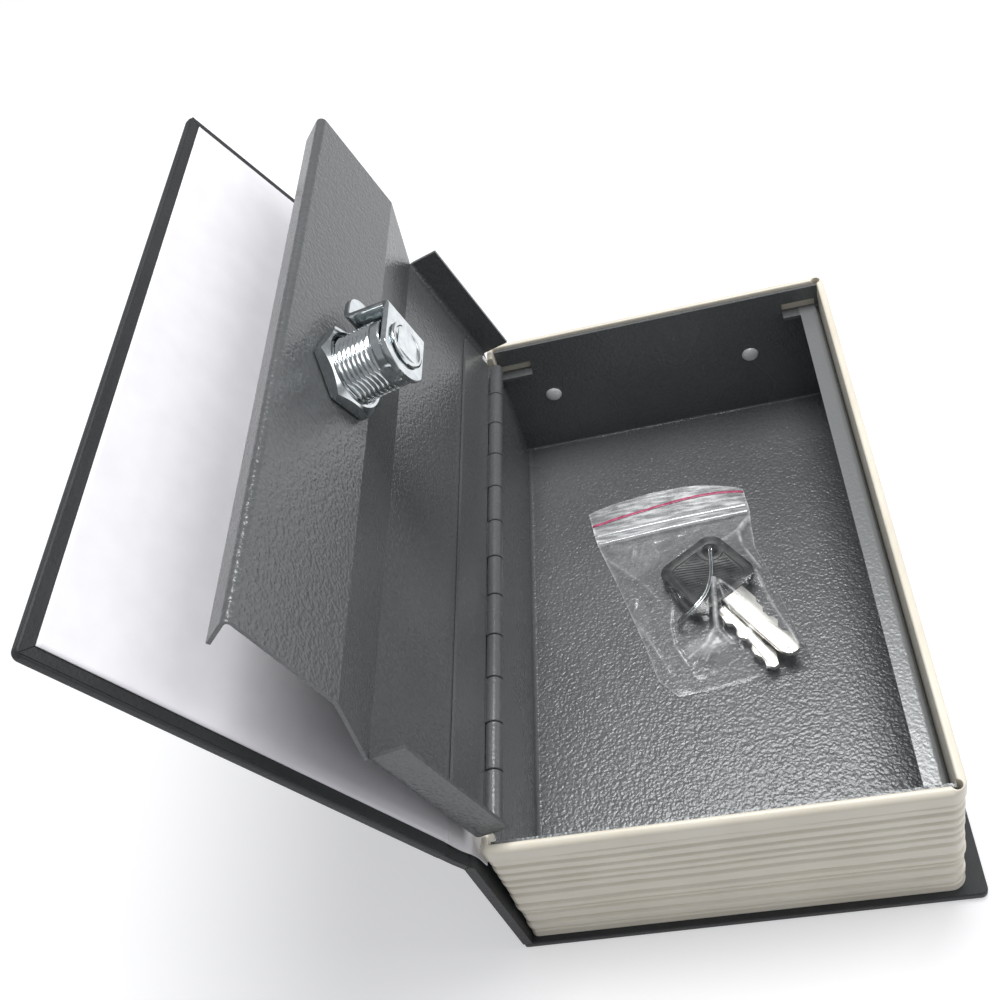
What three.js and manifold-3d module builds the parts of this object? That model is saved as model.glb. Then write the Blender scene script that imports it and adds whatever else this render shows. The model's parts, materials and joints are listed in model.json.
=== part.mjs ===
import * as THREE from 'three';
import { mergeVertices } from 'three/addons/utils/BufferGeometryUtils.js';
import Module from 'manifold-3d';

const wasm = await Module();
wasm.setup();

// A cash box hidden in a dummy book, shown open, standing on its back cover. Millimetres, +Z up.
// Most places are measured in the block frame: X from the spine to the fore-edge, Y along the spine
// from the near end to the far end, Z up from the inside of the back cover.

// Page block: an ivory plastic frame moulded as page edges
const blockLength = 175;
const blockWidth = 106.5;
const blockHeight = 48;
const blockWall = 2.2;
const foreCornerRadius = 4;
const spineCornerRadius = 1.8;
const rimBandHeight = 7;
const rimRound = 1.5;
const ribDepth = 0.9;
const ribRound = 0.6;
const returnLength = 7;
const returnWall = 1;
const rimReturnWall = 2;
const cornerRelief = 1.2;
const ribHeightShares = [0.1, 0.06, 0.13, 0.07, 0.08, 0.12, 0.06, 0.11, 0.14, 0.05, 0.08];
const ribInsetShares = [0.25, 0.95, 0.3, 0.8, 0.4, 0.55, 1, 0.35, 0.5, 1, 0.6];

// Book case: cloth-covered boards round the block
const boardThickness = 2.4;
const headOverhang = 1.7;
const foreOverhang = 4.2;
const boardCornerRadius = 1.8;
const jointCornerRadius = 0.8;
const boardEdgeRound = 0.5;
const spineDrop = 2.5;
const spineLean = 2;
const jointGap = 6;
const coverAxisDrop = 0.5;
const coverSeat = 1.3;
const coverRestAngle = 117.3;
const endpaperThickness = 0.35;
const endpaperInset = 3;
const clothThickness = 0.6;
const clothReach = 5.2;

// Steel tray, folded from sheet
const sheet = 1;
const trayFit = 0.1;
const trayFoldRadius = 1.2;
const endFoldInner = 0.9;
const endWallDrop = 1.2;
const flangeDrop = 9;
const flangeWidth = 5.8;
const stopTabLength = 10;
const stopTabDepth = 3;
const stopTabGap = 0.4;
const spineTabStart = 0.4;

// Rivets that hold the tray in the block
const rivetHeadRadius = 2.8;
const rivetHeadHeight = 1.1;
const rivetShankRadius = 1.5;
const rivetSeatDepth = 0.7;
const rivetFit = 0.15;
const rivetHeight = 24.4;
const rivetSpineInset = 16.7;
const rivetForeInset = 22.6;

// Piano hinge
const hingeX = 2.5;
const hingeDrop = 3.2;
const knuckleCount = 12;
const hingeStart = 9;
const knuckleRadius = 2.2;
const knuckleGap = 0.3;
const pinRadius = 1.15;
const pinFit = 0.3;
const leafThickness = 0.8;
const boxLeafHeight = 13;
const doorLeafWidth = 15.8;
const leafClearance = 0.3;
const weldGap = 0.25;

// Door: one folded sheet with a raised panel, a slope and a recessed lock panel
const doorSheet = 0.9;
const doorEndGap = 0.4;
const doorRestAngle = 106;
const doorStart = 3;
const raisedInner = 2.2;
const slopeRun = 20.3;
const slopeInset = 10.5;
const panelGap = 0.3;
const doorForeGap = 3.3;
const lipRise = 7.7;
const lipLean = 4.2;
const lipBendRadius = 0.7;
const endFlangeHeight = 10;
const endFlangeStart = 4.6;
const endFoldRadius = 1.4;

// Cam lock
const lockInset = 22.1;
const barrelRadius = 8.2;
const barrelFlatWidth = 15.4;
const barrelLength = 15.7;
const barrelHeadRadius = 9.6;
const barrelHeadHeight = 2.2;
const barrelHeadChamfer = 0.5;
const holeFit = 0.25;
const nutAcrossFlats = 20;
const nutHeight = 3.4;
const nutChamfer = 0.5;
const nutTurn = 12;
const plugRadius = 5.8;
const plugFit = 0.25;
const plugTailWidth = 7;
const plugEnd = 18.2;
const notchDepth = 2;
const notchStart = 75;
const notchEnd = 165;
const keywayWidth = 2;
const keywayHeight = 7.6;
const keywayDepth = 13;
const waferCount = 4;
const waferThickness = 0.9;
const waferWidth = 4.2;
const waferLength = 10.4;
const waferFit = 0.2;
const waferFirst = 0.6;
const waferPitch = 2.4;
const stackGap = 0.3;

// Cam: end plate, leg and tongue bent from one strip
const camThickness = 1.5;
const camHubRadius = 8.7;
const camPlateWidth = 14.6;
const camLegPlace = 8.6;
const camFootPlace = 10.9;
const camBendRadius = 1;
const tongueBottom = 3.9;
const tongueTip = 20.6;
const tongueHalfWidth = 7;
const tongueCorner = 5;
const camRingRadius = 6;
const camRingHeight = 0.6;

// Bag with two keys
const bagGap = 0.1;
const bagFilm = 0.4;
const bagPocketHeight = 8.4;
const bagFlatHeight = 1.3;
const bagRound = 2.4;
const bagNearSpine = [41, 62];
const bagNearFore = [84.5, 63.5];
const bagFarFore = [73, 124];
const bagFarSpine = [30, 122];
const bagMouthFore = [71.6, 133.4];
const bagMouthSpine = [22.3, 133.4];
const mouthSlit = 0.6;
const mouthWidth = 24;
const keyHeadSide = 21.5;
const keyHeadCorner = 4.5;
const keyHeadThickness = 2.2;
const keyHoleRadius = 2.4;
const keyHoleInset = 5;
const keyBladeLength = 27;
const keyBladeWidth = 7.4;
const keyBladeThickness = 1.7;
const keyBladeRoot = 0.3;
const keyCutDepth = 1.6;
const keyTurn = -56;
const keySkew = -9;
const keyStackGap = 0.3;
const keyHole = [58.8, 108.3];
const keyFloorGap = 1.7;
const ringWire = 0.4;
const ringPathShares = [
  [0.02, -0.09, 1], [0, -0.02, 0.72], [0, 0, 0.3], [0.02, -0.08, 0], [0.15, -0.42, 0], [0.22, -0.95, 0],
  [0.24, -1.08, 0.5], [0.27, -0.95, 1], [0.28, -0.48, 1], [0.17, -0.25, 1], [0.08, -0.165, 1],
];

// Shared values
const overrun = 1;
const mergeDistance = 1e-4;
const slivers = 0.004;
const arcSteps = 6;
const cornerSteps = 4;
const bevelSteps = 2;
const knuckleSides = 16;
const roundSides = 24;
const wireSides = 6;
const wireSteps = 36;

// Derived places
const ribZoneHeight = blockHeight - rimBandHeight;
const spineHeight = blockHeight - spineDrop;
const coverAxisHeight = blockHeight - coverAxisDrop;
const endWallTop = blockHeight - endWallDrop;
const flangeHeight = blockHeight - flangeDrop;
const hingeZ = blockHeight - hingeDrop;
const trayStart = hingeX - knuckleRadius + leafThickness + trayFit;
const trayEnd = blockWidth - blockWall - trayFit;
const trayNear = blockWall + trayFit;
const trayFar = blockLength - trayNear;
const spineWallTop = hingeZ - knuckleRadius - leafClearance;
const doorNear = trayNear + sheet + doorEndGap;
const doorFar = blockLength - doorNear;
const hingeEnd = blockLength - hingeStart;
const knucklePitch = (hingeEnd - hingeStart) / knuckleCount;
const panelInner = flangeHeight + panelGap - hingeZ;
const doorReach = trayEnd - hingeX - doorForeGap;
const lockReach = doorReach - lockInset;
const slopeEnd = lockReach - slopeInset;
const raisedEnd = slopeEnd - slopeRun;
const boardStart = -boardThickness;
const boardEnd = blockWidth + foreOverhang;
const boardNear = -headOverhang;
const boardFar = blockLength + headOverhang;
const lockMiddle = blockLength / 2;
const coverReach = boardEnd - boardStart;
const plateTop = barrelLength + stackGap + camThickness;

// Colours and finishes
const blackCloth = { color: 0x2b2d2e, roughness: 0.8, metalness: 0 };
const ivoryPlastic = { color: 0xe9e3d8, roughness: 0.45, metalness: 0 };
const hammertone = { color: 0x5a5d5e, roughness: 0.35, metalness: 0.3 };
const paperWhite = { color: 0xf0eef2, roughness: 0.9, metalness: 0 };
const zincPlate = { color: 0xc9cccd, roughness: 0.25, metalness: 1 };
const rivetSteel = { color: 0xb9bcbe, roughness: 0.3, metalness: 1 };
const blackPlastic = { color: 0x1b1c1d, roughness: 0.45, metalness: 0 };
const bagPlastic = { color: 0xdfe3e4, roughness: 0.2, metalness: 0 };

// Manifold solids

function solid(geometry) {
  const bare = geometry.clone();
  bare.deleteAttribute('normal');
  bare.deleteAttribute('uv');
  const merged = mergeVertices(bare, mergeDistance);
  const triVerts = new Uint32Array(merged.index.array);
  const vertProperties = new Float32Array(merged.attributes.position.array);
  return new wasm.Manifold(new wasm.Mesh({ numProp: 3, vertProperties, triVerts }));
}

function joined(solids) {
  return solids.reduce((sum, next) => sum.add(next));
}

function cutBy(body, tools) {
  return tools.reduce((rest, tool) => rest.subtract(tool), body);
}

function geometryOf(body) {
  const mesh = body.simplify(slivers).getMesh();
  const geometry = new THREE.BufferGeometry();
  const positions = new THREE.BufferAttribute(new Float32Array(mesh.vertProperties), mesh.numProp);
  geometry.setAttribute('position', positions);
  geometry.setIndex(new THREE.BufferAttribute(new Uint32Array(mesh.triVerts), 1));
  return geometry;
}

function piece(name, body, finish) {
  const geometry = body.isBufferGeometry ? body : geometryOf(body);
  const mesh = new THREE.Mesh(geometry, new THREE.MeshStandardMaterial(finish));
  mesh.name = name;
  return mesh;
}

// Shapes

function box(x0, x1, y0, y1, z0, z1) {
  const geometry = new THREE.BoxGeometry(x1 - x0, y1 - y0, z1 - z0);
  return geometry.translate((x0 + x1) / 2, (y0 + y1) / 2, (z0 + z1) / 2);
}

function boxSolid(...corners) {
  return solid(box(...corners));
}

function polygon(points) {
  return new THREE.Shape(points.map(([x, y]) => new THREE.Vector2(x, y)));
}

// Rectangle with a radius of its own at each corner, from the near spine corner round to the far one
function roundedRectangle(x0, x1, y0, y1, radii) {
  const [nearSpine, nearFore, farFore, farSpine] = radii;
  const quarter = Math.PI / 2;
  const shape = new THREE.Shape();
  shape.moveTo(x0 + nearSpine, y0);
  shape.lineTo(x1 - nearFore, y0);
  shape.absarc(x1 - nearFore, y0 + nearFore, nearFore, -quarter, 0);
  shape.lineTo(x1, y1 - farFore);
  shape.absarc(x1 - farFore, y1 - farFore, farFore, 0, quarter);
  shape.lineTo(x0 + farSpine, y1);
  shape.absarc(x0 + farSpine, y1 - farSpine, farSpine, quarter, 2 * quarter);
  shape.lineTo(x0, y0 + nearSpine);
  shape.absarc(x0 + nearSpine, y0 + nearSpine, nearSpine, 2 * quarter, 3 * quarter);
  return shape;
}

// Outline as plain points, without the doubled ones where an arc meets a line
function plainOutline(shape, curveSegments) {
  const single = (points) => points.filter((point, index) => {
    const next = points[(index + 1) % points.length];
    return point.distanceTo(next) > mergeDistance;
  });
  const { shape: outer, holes } = shape.extractPoints(curveSegments);
  const outline = new THREE.Shape(single(outer));
  outline.holes = holes.map((hole) => new THREE.Path(single(hole)));
  return outline;
}

// Slab between two heights whose top and bottom edges are rounded, inside the outline that it is given
function roundedSlab(shape, z0, z1, round, curveSegments = arcSteps) {
  const geometry = new THREE.ExtrudeGeometry(plainOutline(shape, curveSegments), {
    depth: z1 - z0 - 2 * round,
    bevelEnabled: true,
    bevelThickness: round,
    bevelSize: round,
    bevelOffset: -round,
    bevelSegments: bevelSteps,
  });
  return geometry.translate(0, 0, z0 + round);
}

function prism(shape, z0, z1, curveSegments = arcSteps) {
  const outline = plainOutline(shape, curveSegments);
  const geometry = new THREE.ExtrudeGeometry(outline, { depth: z1 - z0, bevelEnabled: false });
  return geometry.translate(0, 0, z0);
}

// Section drawn in X and Z, drawn out along Y
function alongY(section, y0, y1) {
  return prism(section, 0, y1 - y0).rotateX(Math.PI / 2).translate(0, y1, 0);
}

// Section drawn in Y and Z, drawn out along X
function alongX(section, x0, x1) {
  return prism(section, 0, x1 - x0).rotateX(Math.PI / 2).rotateZ(Math.PI / 2).translate(x0, 0, 0);
}

function cylinder(radius, z0, z1, sides = roundSides) {
  const geometry = new THREE.CylinderGeometry(radius, radius, z1 - z0, sides);
  return geometry.rotateX(Math.PI / 2).translate(0, 0, (z0 + z1) / 2);
}

function turned(profile, sides = roundSides) {
  const points = profile.map(([radius, height]) => new THREE.Vector2(radius, height));
  return new THREE.LatheGeometry(points, sides).rotateX(Math.PI / 2);
}

// Closed outline of a bent sheet: a centre line with rounded corners, half a thickness to each side
function bentSheet(corners, thickness, innerRadius) {
  const radius = innerRadius + thickness / 2;
  const path = [];
  corners.forEach(([x, y], index) => {
    const here = new THREE.Vector2(x, y);
    if (index === 0 || index === corners.length - 1) {
      path.push(here);
      return;
    }
    const back = new THREE.Vector2(...corners[index - 1]).sub(here).normalize();
    const ahead = new THREE.Vector2(...corners[index + 1]).sub(here).normalize();
    const half = Math.acos(THREE.MathUtils.clamp(back.dot(ahead), -1, 1)) / 2;
    const run = radius / Math.tan(half);
    const middle = back.clone().add(ahead).normalize().multiplyScalar(radius / Math.sin(half)).add(here);
    const first = here.clone().addScaledVector(back, run).sub(middle);
    const last = here.clone().addScaledVector(ahead, run).sub(middle);
    const sweep = Math.atan2(first.cross(last), first.dot(last));
    for (let step = 0; step <= arcSteps; step += 1) {
      const turn = (sweep * step) / arcSteps;
      path.push(first.clone().rotateAround(new THREE.Vector2(0, 0), turn).add(middle));
    }
  });
  const side = (sign) => path.map((point, index) => {
    const before = path[Math.max(index - 1, 0)];
    const after = path[Math.min(index + 1, path.length - 1)];
    const along = after.clone().sub(before).normalize();
    const reach = (sign * thickness) / 2;
    return [point.x - along.y * reach, point.y + along.x * reach];
  });
  return polygon([...side(-1), ...side(1).reverse()]);
}

// Book case

function backBoard() {
  const radii = [jointCornerRadius, boardCornerRadius, boardCornerRadius, jointCornerRadius];
  const outline = roundedRectangle(boardStart, boardEnd, boardNear, boardFar, radii);
  return roundedSlab(outline, -boardThickness, 0, boardEdgeRound);
}

function spineBoard() {
  const top = -spineLean;
  const round = boardThickness / 2;
  const section = new THREE.Shape();
  section.moveTo(boardStart, 0);
  section.lineTo(0, 0);
  section.lineTo(top, spineHeight - round);
  section.absarc(top - round, spineHeight - round, round, 0, Math.PI);
  return alongY(section, boardNear, boardFar);
}

// Strip of covering cloth that leaves the outer top edge of the spine and follows the cover's joint
function jointCloth() {
  const outerFoot = [boardStart - spineLean, spineHeight - boardThickness / 2];
  const rest = THREE.MathUtils.degToRad(coverRestAngle);
  const outward = boardThickness / 2;
  const tip = [
    boardStart + clothReach * Math.cos(rest) - outward * Math.sin(rest),
    coverAxisHeight + clothReach * Math.sin(rest) + outward * Math.cos(rest),
  ];
  const foot = [outerFoot[0] - clothThickness, outerFoot[1]];
  const bend = [foot[0] - clothThickness / 2, (foot[1] + tip[1]) / 2];
  const section = bentSheet([foot, bend, tip], clothThickness, clothThickness);
  return alongY(section, boardNear + clothThickness, boardFar - clothThickness);
}

function frontBoard() {
  const radii = [jointCornerRadius, boardCornerRadius, boardCornerRadius, jointCornerRadius];
  const outline = roundedRectangle(jointGap, coverReach, boardNear, boardFar, radii);
  return roundedSlab(outline, coverSeat, coverSeat + boardThickness, boardEdgeRound);
}

function endpaper() {
  const end = coverReach - endpaperInset;
  const near = boardNear + endpaperInset;
  const far = boardFar - endpaperInset;
  const top = coverSeat - weldGap;
  return box(jointGap, end, near, far, top - endpaperThickness, top);
}

// Page block

function blockOutline(inset) {
  const fore = foreCornerRadius;
  const spine = spineCornerRadius + inset;
  const radii = [spine, fore, fore, spine];
  return roundedRectangle(inset, blockWidth - inset, inset, blockLength - inset, radii);
}

function pageSlabs() {
  const slabs = [];
  let bottom = 0;
  ribHeightShares.forEach((share, index) => {
    const top = bottom + share * ribZoneHeight;
    const overlap = index === 0 ? 0 : ribRound / 2;
    const outline = blockOutline(ribInsetShares[index] * ribDepth);
    slabs.push(solid(roundedSlab(outline, bottom - overlap, top + ribRound / 2, ribRound, cornerSteps)));
    bottom = top;
  });
  const bandBottom = ribZoneHeight - ribRound / 2;
  const band = roundedSlab(blockOutline(0), bandBottom, blockHeight, rimRound, cornerSteps);
  return [...slabs, solid(band)];
}

function rivetPlaces() {
  return [
    [rivetSpineInset, trayNear + sheet, 1],
    [trayEnd - rivetForeInset, trayNear + sheet, 1],
    [rivetSpineInset, trayFar - sheet, -1],
    [trayEnd - rivetForeInset, trayFar - sheet, -1],
  ];
}

function rivetBore(x, innerY, inward, depth, radius) {
  const bore = cylinder(radius, -depth, overrun, knuckleSides).rotateX(-inward * (Math.PI / 2));
  return solid(bore.translate(x, innerY, rivetHeight));
}

function pageBlock() {
  const inner = blockWidth - blockWall;
  const far = blockLength - blockWall;
  const top = blockHeight + overrun;
  const lowCavity = boxSolid(returnWall, inner, blockWall, far, -overrun, spineWallTop);
  const rimCavity = boxSolid(rimReturnWall, inner, blockWall, far, spineWallTop - sheet, top);
  const opening = boxSolid(-overrun, inner, returnLength, blockLength - returnLength, -overrun, top);
  const reliefs = [blockWall, far].map((y) => {
    const relief = cylinder(cornerRelief, ribZoneHeight, top, knuckleSides);
    const towardMiddle = Math.sign(lockMiddle - y) * trayFit;
    return solid(relief.translate(inner - trayFit, y + towardMiddle, 0));
  });
  const seats = rivetPlaces().map(([x, y, inward]) => (
    rivetBore(x, y, inward, sheet + trayFit + rivetSeatDepth, rivetShankRadius + rivetFit)));
  const level = boxSolid(-overrun, blockWidth + overrun, -overrun, blockLength + overrun, 0, top);
  const stack = joined(pageSlabs()).intersect(level);
  return cutBy(stack, [lowCavity, rimCavity, opening, ...reliefs, ...seats]);
}

// Steel tray

// Floor, spine wall, fore wall and its flange are one folded strip; the end walls are the other
function trayStrip() {
  const half = sheet / 2;
  const middleLine = [
    [trayStart + half, spineWallTop],
    [trayStart + half, half],
    [trayEnd - half, half],
    [trayEnd - half, flangeHeight - half],
    [trayEnd - flangeWidth, flangeHeight - half],
  ];
  return solid(alongY(bentSheet(middleLine, sheet, trayFoldRadius), trayNear, trayFar));
}

function trayEnds() {
  const half = sheet / 2;
  const middleLine = [
    [trayNear + half, endWallTop],
    [trayNear + half, half],
    [trayFar - half, half],
    [trayFar - half, endWallTop],
  ];
  return solid(alongX(bentSheet(middleLine, sheet, endFoldInner), trayStart, trayEnd));
}

function stopTab(x0, x1, top, innerY, inward) {
  const tip = innerY + inward * stopTabDepth;
  const root = innerY - (inward * sheet) / 2;
  return boxSolid(x0, x1, Math.min(tip, root), Math.max(tip, root), top - sheet, top);
}

function stopSlot(x0, x1, top, innerY, inward) {
  const outer = innerY - inward * (sheet + overrun);
  const inner = innerY + inward * overrun;
  return boxSolid(x0, x1, Math.min(inner, outer), Math.max(inner, outer), top, top + stopTabDepth);
}

function steelTray() {
  const spineTabTop = hingeZ + raisedInner + doorSheet - endFlangeHeight - stopTabGap;
  const spineTab = [trayStart + sheet + spineTabStart, trayStart + sheet + spineTabStart + stopTabLength];
  const foreTab = [trayEnd - sheet - stopTabLength, trayEnd - sheet];
  const ends = [[trayNear + sheet, 1], [trayFar - sheet, -1]];
  const tabs = ends.flatMap(([y, inward]) => [
    stopTab(...spineTab, spineTabTop, y, inward), stopTab(...foreTab, flangeHeight, y, inward)]);
  const slots = ends.flatMap(([y, inward]) => [
    stopSlot(...spineTab, spineTabTop, y, inward), stopSlot(...foreTab, flangeHeight, y, inward)]);
  const holes = rivetPlaces().map(([x, y, inward]) => (
    rivetBore(x, y, inward, sheet + overrun, rivetShankRadius + rivetFit)));
  const notch = boxSolid(-overrun, rimReturnWall + leafClearance, 0, blockLength, spineWallTop,
    endWallTop + overrun);
  const shell = cutBy(trayStrip().add(trayEnds()), [notch, ...slots, ...holes]);
  return joined([shell, ...tabs]);
}

function trayRivet([x, innerY, inward]) {
  const round = rivetHeadHeight / 2;
  const seat = trayFit / 2;
  const shank = sheet + trayFit + rivetSeatDepth - rivetFit;
  const profile = [
    [0, -shank],
    [rivetShankRadius, -shank],
    [rivetShankRadius, seat],
    [rivetHeadRadius, seat],
    [rivetHeadRadius, round],
    [rivetHeadRadius - round, rivetHeadHeight - round / 2],
    [rivetHeadRadius / 2, rivetHeadHeight],
    [0, rivetHeadHeight],
  ];
  const rivet = turned(profile, knuckleSides).rotateX(-inward * (Math.PI / 2));
  return rivet.translate(x, innerY, rivetHeight);
}

// Piano hinge, drawn with its pin on the Y axis and the leaf's neck going down

function knuckleRuns(first) {
  const runs = [];
  for (let index = first; index < knuckleCount; index += 2) {
    const start = hingeStart + index * knucklePitch + knuckleGap / 2;
    runs.push([start, start + knucklePitch - knuckleGap]);
  }
  return runs;
}

function tube(radius, y0, y1) {
  return solid(cylinder(radius, y0, y1, knuckleSides).rotateX(-Math.PI / 2));
}

function pinBore() {
  return tube(pinRadius + pinFit, hingeStart - overrun, hingeEnd + overrun);
}

function boxLeaf() {
  const outer = -knuckleRadius;
  const top = -(knuckleRadius + leafClearance);
  const plate = boxSolid(outer, outer + leafThickness, hingeStart, hingeEnd, top - boxLeafHeight, top);
  const knuckles = knuckleRuns(1).flatMap(([y0, y1]) => [
    tube(knuckleRadius, y0, y1),
    boxSolid(outer, outer + leafThickness, y0, y1, top - overrun, 0),
  ]);
  return cutBy(joined([plate, ...knuckles]), [pinBore()]);
}

function doorLeaf() {
  const outer = raisedInner - weldGap;
  const start = knuckleRadius + leafClearance;
  const plate = boxSolid(start, doorLeafWidth, hingeStart, hingeEnd, outer - leafThickness, outer);
  const knuckles = knuckleRuns(0).flatMap(([y0, y1]) => [
    tube(knuckleRadius, y0, y1),
    boxSolid(0, start + overrun, y0, y1, outer - leafThickness, outer),
  ]);
  return cutBy(joined([plate, ...knuckles]), [pinBore()]);
}

function hingePin() {
  const length = hingeEnd - hingeStart - knuckleGap;
  const pin = cylinder(pinRadius, -length / 2, length / 2, knuckleSides);
  return pin.rotateX(Math.PI / 2).translate(0, (hingeStart + hingeEnd) / 2, 0);
}

// Door, drawn closed: X away from the hinge pin, Z outward

function doorStrip() {
  const half = doorSheet / 2;
  const middleLine = [
    [doorStart, raisedInner + half],
    [raisedEnd, raisedInner + half],
    [slopeEnd, panelInner + half],
    [doorReach - half, panelInner + half],
    [doorReach - half - lipLean, panelInner + lipRise + half],
  ];
  return solid(alongY(bentSheet(middleLine, doorSheet, lipBendRadius), doorNear, doorFar));
}

// The raised panel's ends fold inward as flanges
function doorEnds() {
  const half = doorSheet / 2;
  const bottom = raisedInner + doorSheet - endFlangeHeight;
  const middleLine = [
    [doorNear + half, bottom],
    [doorNear + half, raisedInner + half],
    [doorFar - half, raisedInner + half],
    [doorFar - half, bottom],
  ];
  return solid(alongX(bentSheet(middleLine, doorSheet, endFoldRadius), endFlangeStart, raisedEnd));
}

// The square ends of the raised panel give way to the rounded folds
function foldCorners() {
  const radius = endFoldRadius + doorSheet;
  const top = raisedInner + doorSheet;
  const ends = [[doorNear, 1], [doorFar, -1]];
  return ends.map(([y, inward]) => {
    const block = boxSolid(-overrun, raisedEnd, Math.min(y, y + inward * radius) - trayFit,
      Math.max(y, y + inward * radius) + trayFit, top - radius, top + overrun);
    const keep = cylinder(radius, -overrun, raisedEnd + overrun, roundSides).rotateY(Math.PI / 2);
    const inside = boxSolid(-overrun, raisedEnd + overrun, Math.min(y + inward * radius, lockMiddle),
      Math.max(y + inward * radius, lockMiddle), top - radius - overrun, top + 2 * overrun);
    return cutBy(block, [solid(keep.translate(0, y + inward * radius, top - radius)), inside]);
  });
}

function lockHoleOutline(radius, flatWidth, extra) {
  const half = flatWidth / 2 + extra;
  const reach = radius + extra;
  const tilt = Math.asin(half / reach);
  const shape = new THREE.Shape();
  shape.absarc(0, 0, reach, -tilt, tilt);
  shape.absarc(0, 0, reach, Math.PI - tilt, Math.PI + tilt);
  return shape;
}

// Beyond the hinge the sheet starts later, to pass the corner of the block's rim
function hingeNotches() {
  const high = raisedInner + doorSheet + overrun;
  return [[doorNear - overrun, hingeStart], [hingeEnd, doorFar + overrun]].map(([y0, y1]) => (
    boxSolid(0, endFlangeStart, y0, y1, 0, high)));
}

function doorPanel() {
  const hole = prism(lockHoleOutline(barrelRadius, barrelFlatWidth, holeFit), panelInner - overrun,
    panelInner + doorSheet + overrun).translate(lockReach, lockMiddle, 0);
  return cutBy(doorStrip().add(doorEnds()), [...foldCorners(), ...hingeNotches(), solid(hole)]);
}

// Cam lock, drawn with Z along the lock away from the door's inner face

function lockBarrel() {
  const face = -(doorSheet + weldGap);
  const neck = prism(lockHoleOutline(barrelRadius, barrelFlatWidth, 0), face - overrun / 2, barrelLength);
  const head = turned([
    [0, face - barrelHeadHeight],
    [barrelHeadRadius - barrelHeadChamfer, face - barrelHeadHeight],
    [barrelHeadRadius, face - barrelHeadHeight + barrelHeadChamfer],
    [barrelHeadRadius, face],
    [0, face],
  ]);
  const bore = cylinder(plugRadius + plugFit, face - barrelHeadHeight - overrun, barrelLength + overrun);
  return cutBy(solid(neck).add(solid(head)), [solid(bore), stopNotch()]);
}

// Quarter-turn notch in the barrel's end, which stops the cam at both ends of its travel
function stopNotch() {
  const [start, end] = [notchStart, notchEnd].map(THREE.MathUtils.degToRad);
  const reach = 2 * barrelRadius;
  const middle = (start + end) / 2;
  const corner = (turn) => [reach * Math.cos(turn), reach * Math.sin(turn)];
  const wedge = polygon([[0, 0], corner(start), corner(middle), corner(end)]);
  return solid(prism(wedge, barrelLength - notchDepth, barrelLength + overrun));
}

function lockNut() {
  const corner = nutAcrossFlats / Math.sqrt(3);
  const bottom = weldGap;
  const top = bottom + nutHeight;
  const hexagon = solid(cylinder(corner, bottom, top, 6).rotateZ(THREE.MathUtils.degToRad(nutTurn)));
  const chamfered = solid(turned([
    [0, bottom],
    [corner - nutChamfer, bottom],
    [corner, bottom + nutChamfer],
    [corner, top - nutChamfer],
    [corner - 2 * nutChamfer, top],
    [0, top],
  ]));
  const bore = solid(cylinder(barrelRadius + holeFit, bottom - overrun, top + overrun));
  return cutBy(hexagon.intersect(chamfered), [bore]);
}

function plugFace() {
  return -(doorSheet + weldGap + barrelHeadHeight);
}

function waferHeight(index) {
  return plugFace() + waferFirst + waferThickness + index * waferPitch;
}

function lockPlug() {
  const shoulder = barrelLength;
  const drum = solid(cylinder(plugRadius, plugFace(), shoulder));
  const half = plugTailWidth / 2;
  const tail = boxSolid(-half, half, -half, half, shoulder - overrun, plugEnd);
  const keyway = boxSolid(-keywayWidth / 2, keywayWidth / 2, -keywayHeight / 2, keywayHeight / 2,
    plugFace() - overrun, plugFace() + keywayDepth);
  const slots = [...Array(waferCount).keys()].map((index) => {
    const low = waferHeight(index) - waferFit;
    const across = waferWidth / 2 + waferFit;
    return boxSolid(-across, across, -plugRadius - overrun, plugRadius + overrun,
      low, low + waferThickness + 2 * waferFit);
  });
  return cutBy(drum.add(tail), [keyway, ...slots]);
}

function plugWafer(index) {
  const low = waferHeight(index);
  const high = low + waferThickness;
  const plate = boxSolid(-waferWidth / 2, waferWidth / 2, -waferLength / 2, waferLength / 2, low, high);
  const window = boxSolid(-keywayWidth / 2, keywayWidth / 2, -keywayHeight / 2, keywayHeight / 2,
    low - overrun, high + overrun);
  return cutBy(plate, [window]);
}

function tailHole(z0, z1) {
  const half = plugTailWidth / 2 + plugFit;
  return boxSolid(-half, half, -half, half, z0 - overrun, z1 + overrun);
}

// End plate with a round hub, narrowing to the leg's bend
function camPlateOutline() {
  const half = camPlateWidth / 2;
  const tilt = Math.acos(half / camHubRadius);
  const shape = new THREE.Shape();
  shape.moveTo(half, camLegPlace + camThickness);
  shape.lineTo(-half, camLegPlace + camThickness);
  shape.absarc(0, 0, camHubRadius, Math.PI - tilt, 2 * Math.PI + tilt);
  return shape;
}

// Side view of the cam in Y and Z: plate, leg back towards the door, tongue outward
function camSection() {
  const half = camThickness / 2;
  const middleLine = [
    [-camHubRadius - overrun, plateTop - half],
    [camLegPlace + half, plateTop - half],
    [camFootPlace + half, tongueBottom + half],
    [tongueTip, tongueBottom + half],
  ];
  return bentSheet(middleLine, camThickness, camBendRadius);
}

function lockCam() {
  const strip = solid(alongX(camSection(), -tongueHalfWidth - overrun, tongueHalfWidth + overrun));
  const plateZone = solid(prism(camPlateOutline(), plateTop - camThickness - overrun, plateTop + overrun,
    2 * arcSteps));
  const tongueOutline = roundedRectangle(-tongueHalfWidth, tongueHalfWidth, camLegPlace,
    tongueTip, [0, 0, tongueCorner, tongueCorner]);
  const tongueZone = solid(prism(tongueOutline, tongueBottom - overrun,
    plateTop - camThickness - camBendRadius));
  const legZone = boxSolid(-tongueHalfWidth, tongueHalfWidth, camLegPlace - camBendRadius,
    camFootPlace + camThickness, tongueBottom, plateTop);
  const zones = joined([plateZone, tongueZone, legZone]);
  return cutBy(strip.intersect(zones), [tailHole(plateTop - camThickness, plateTop)]);
}

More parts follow.
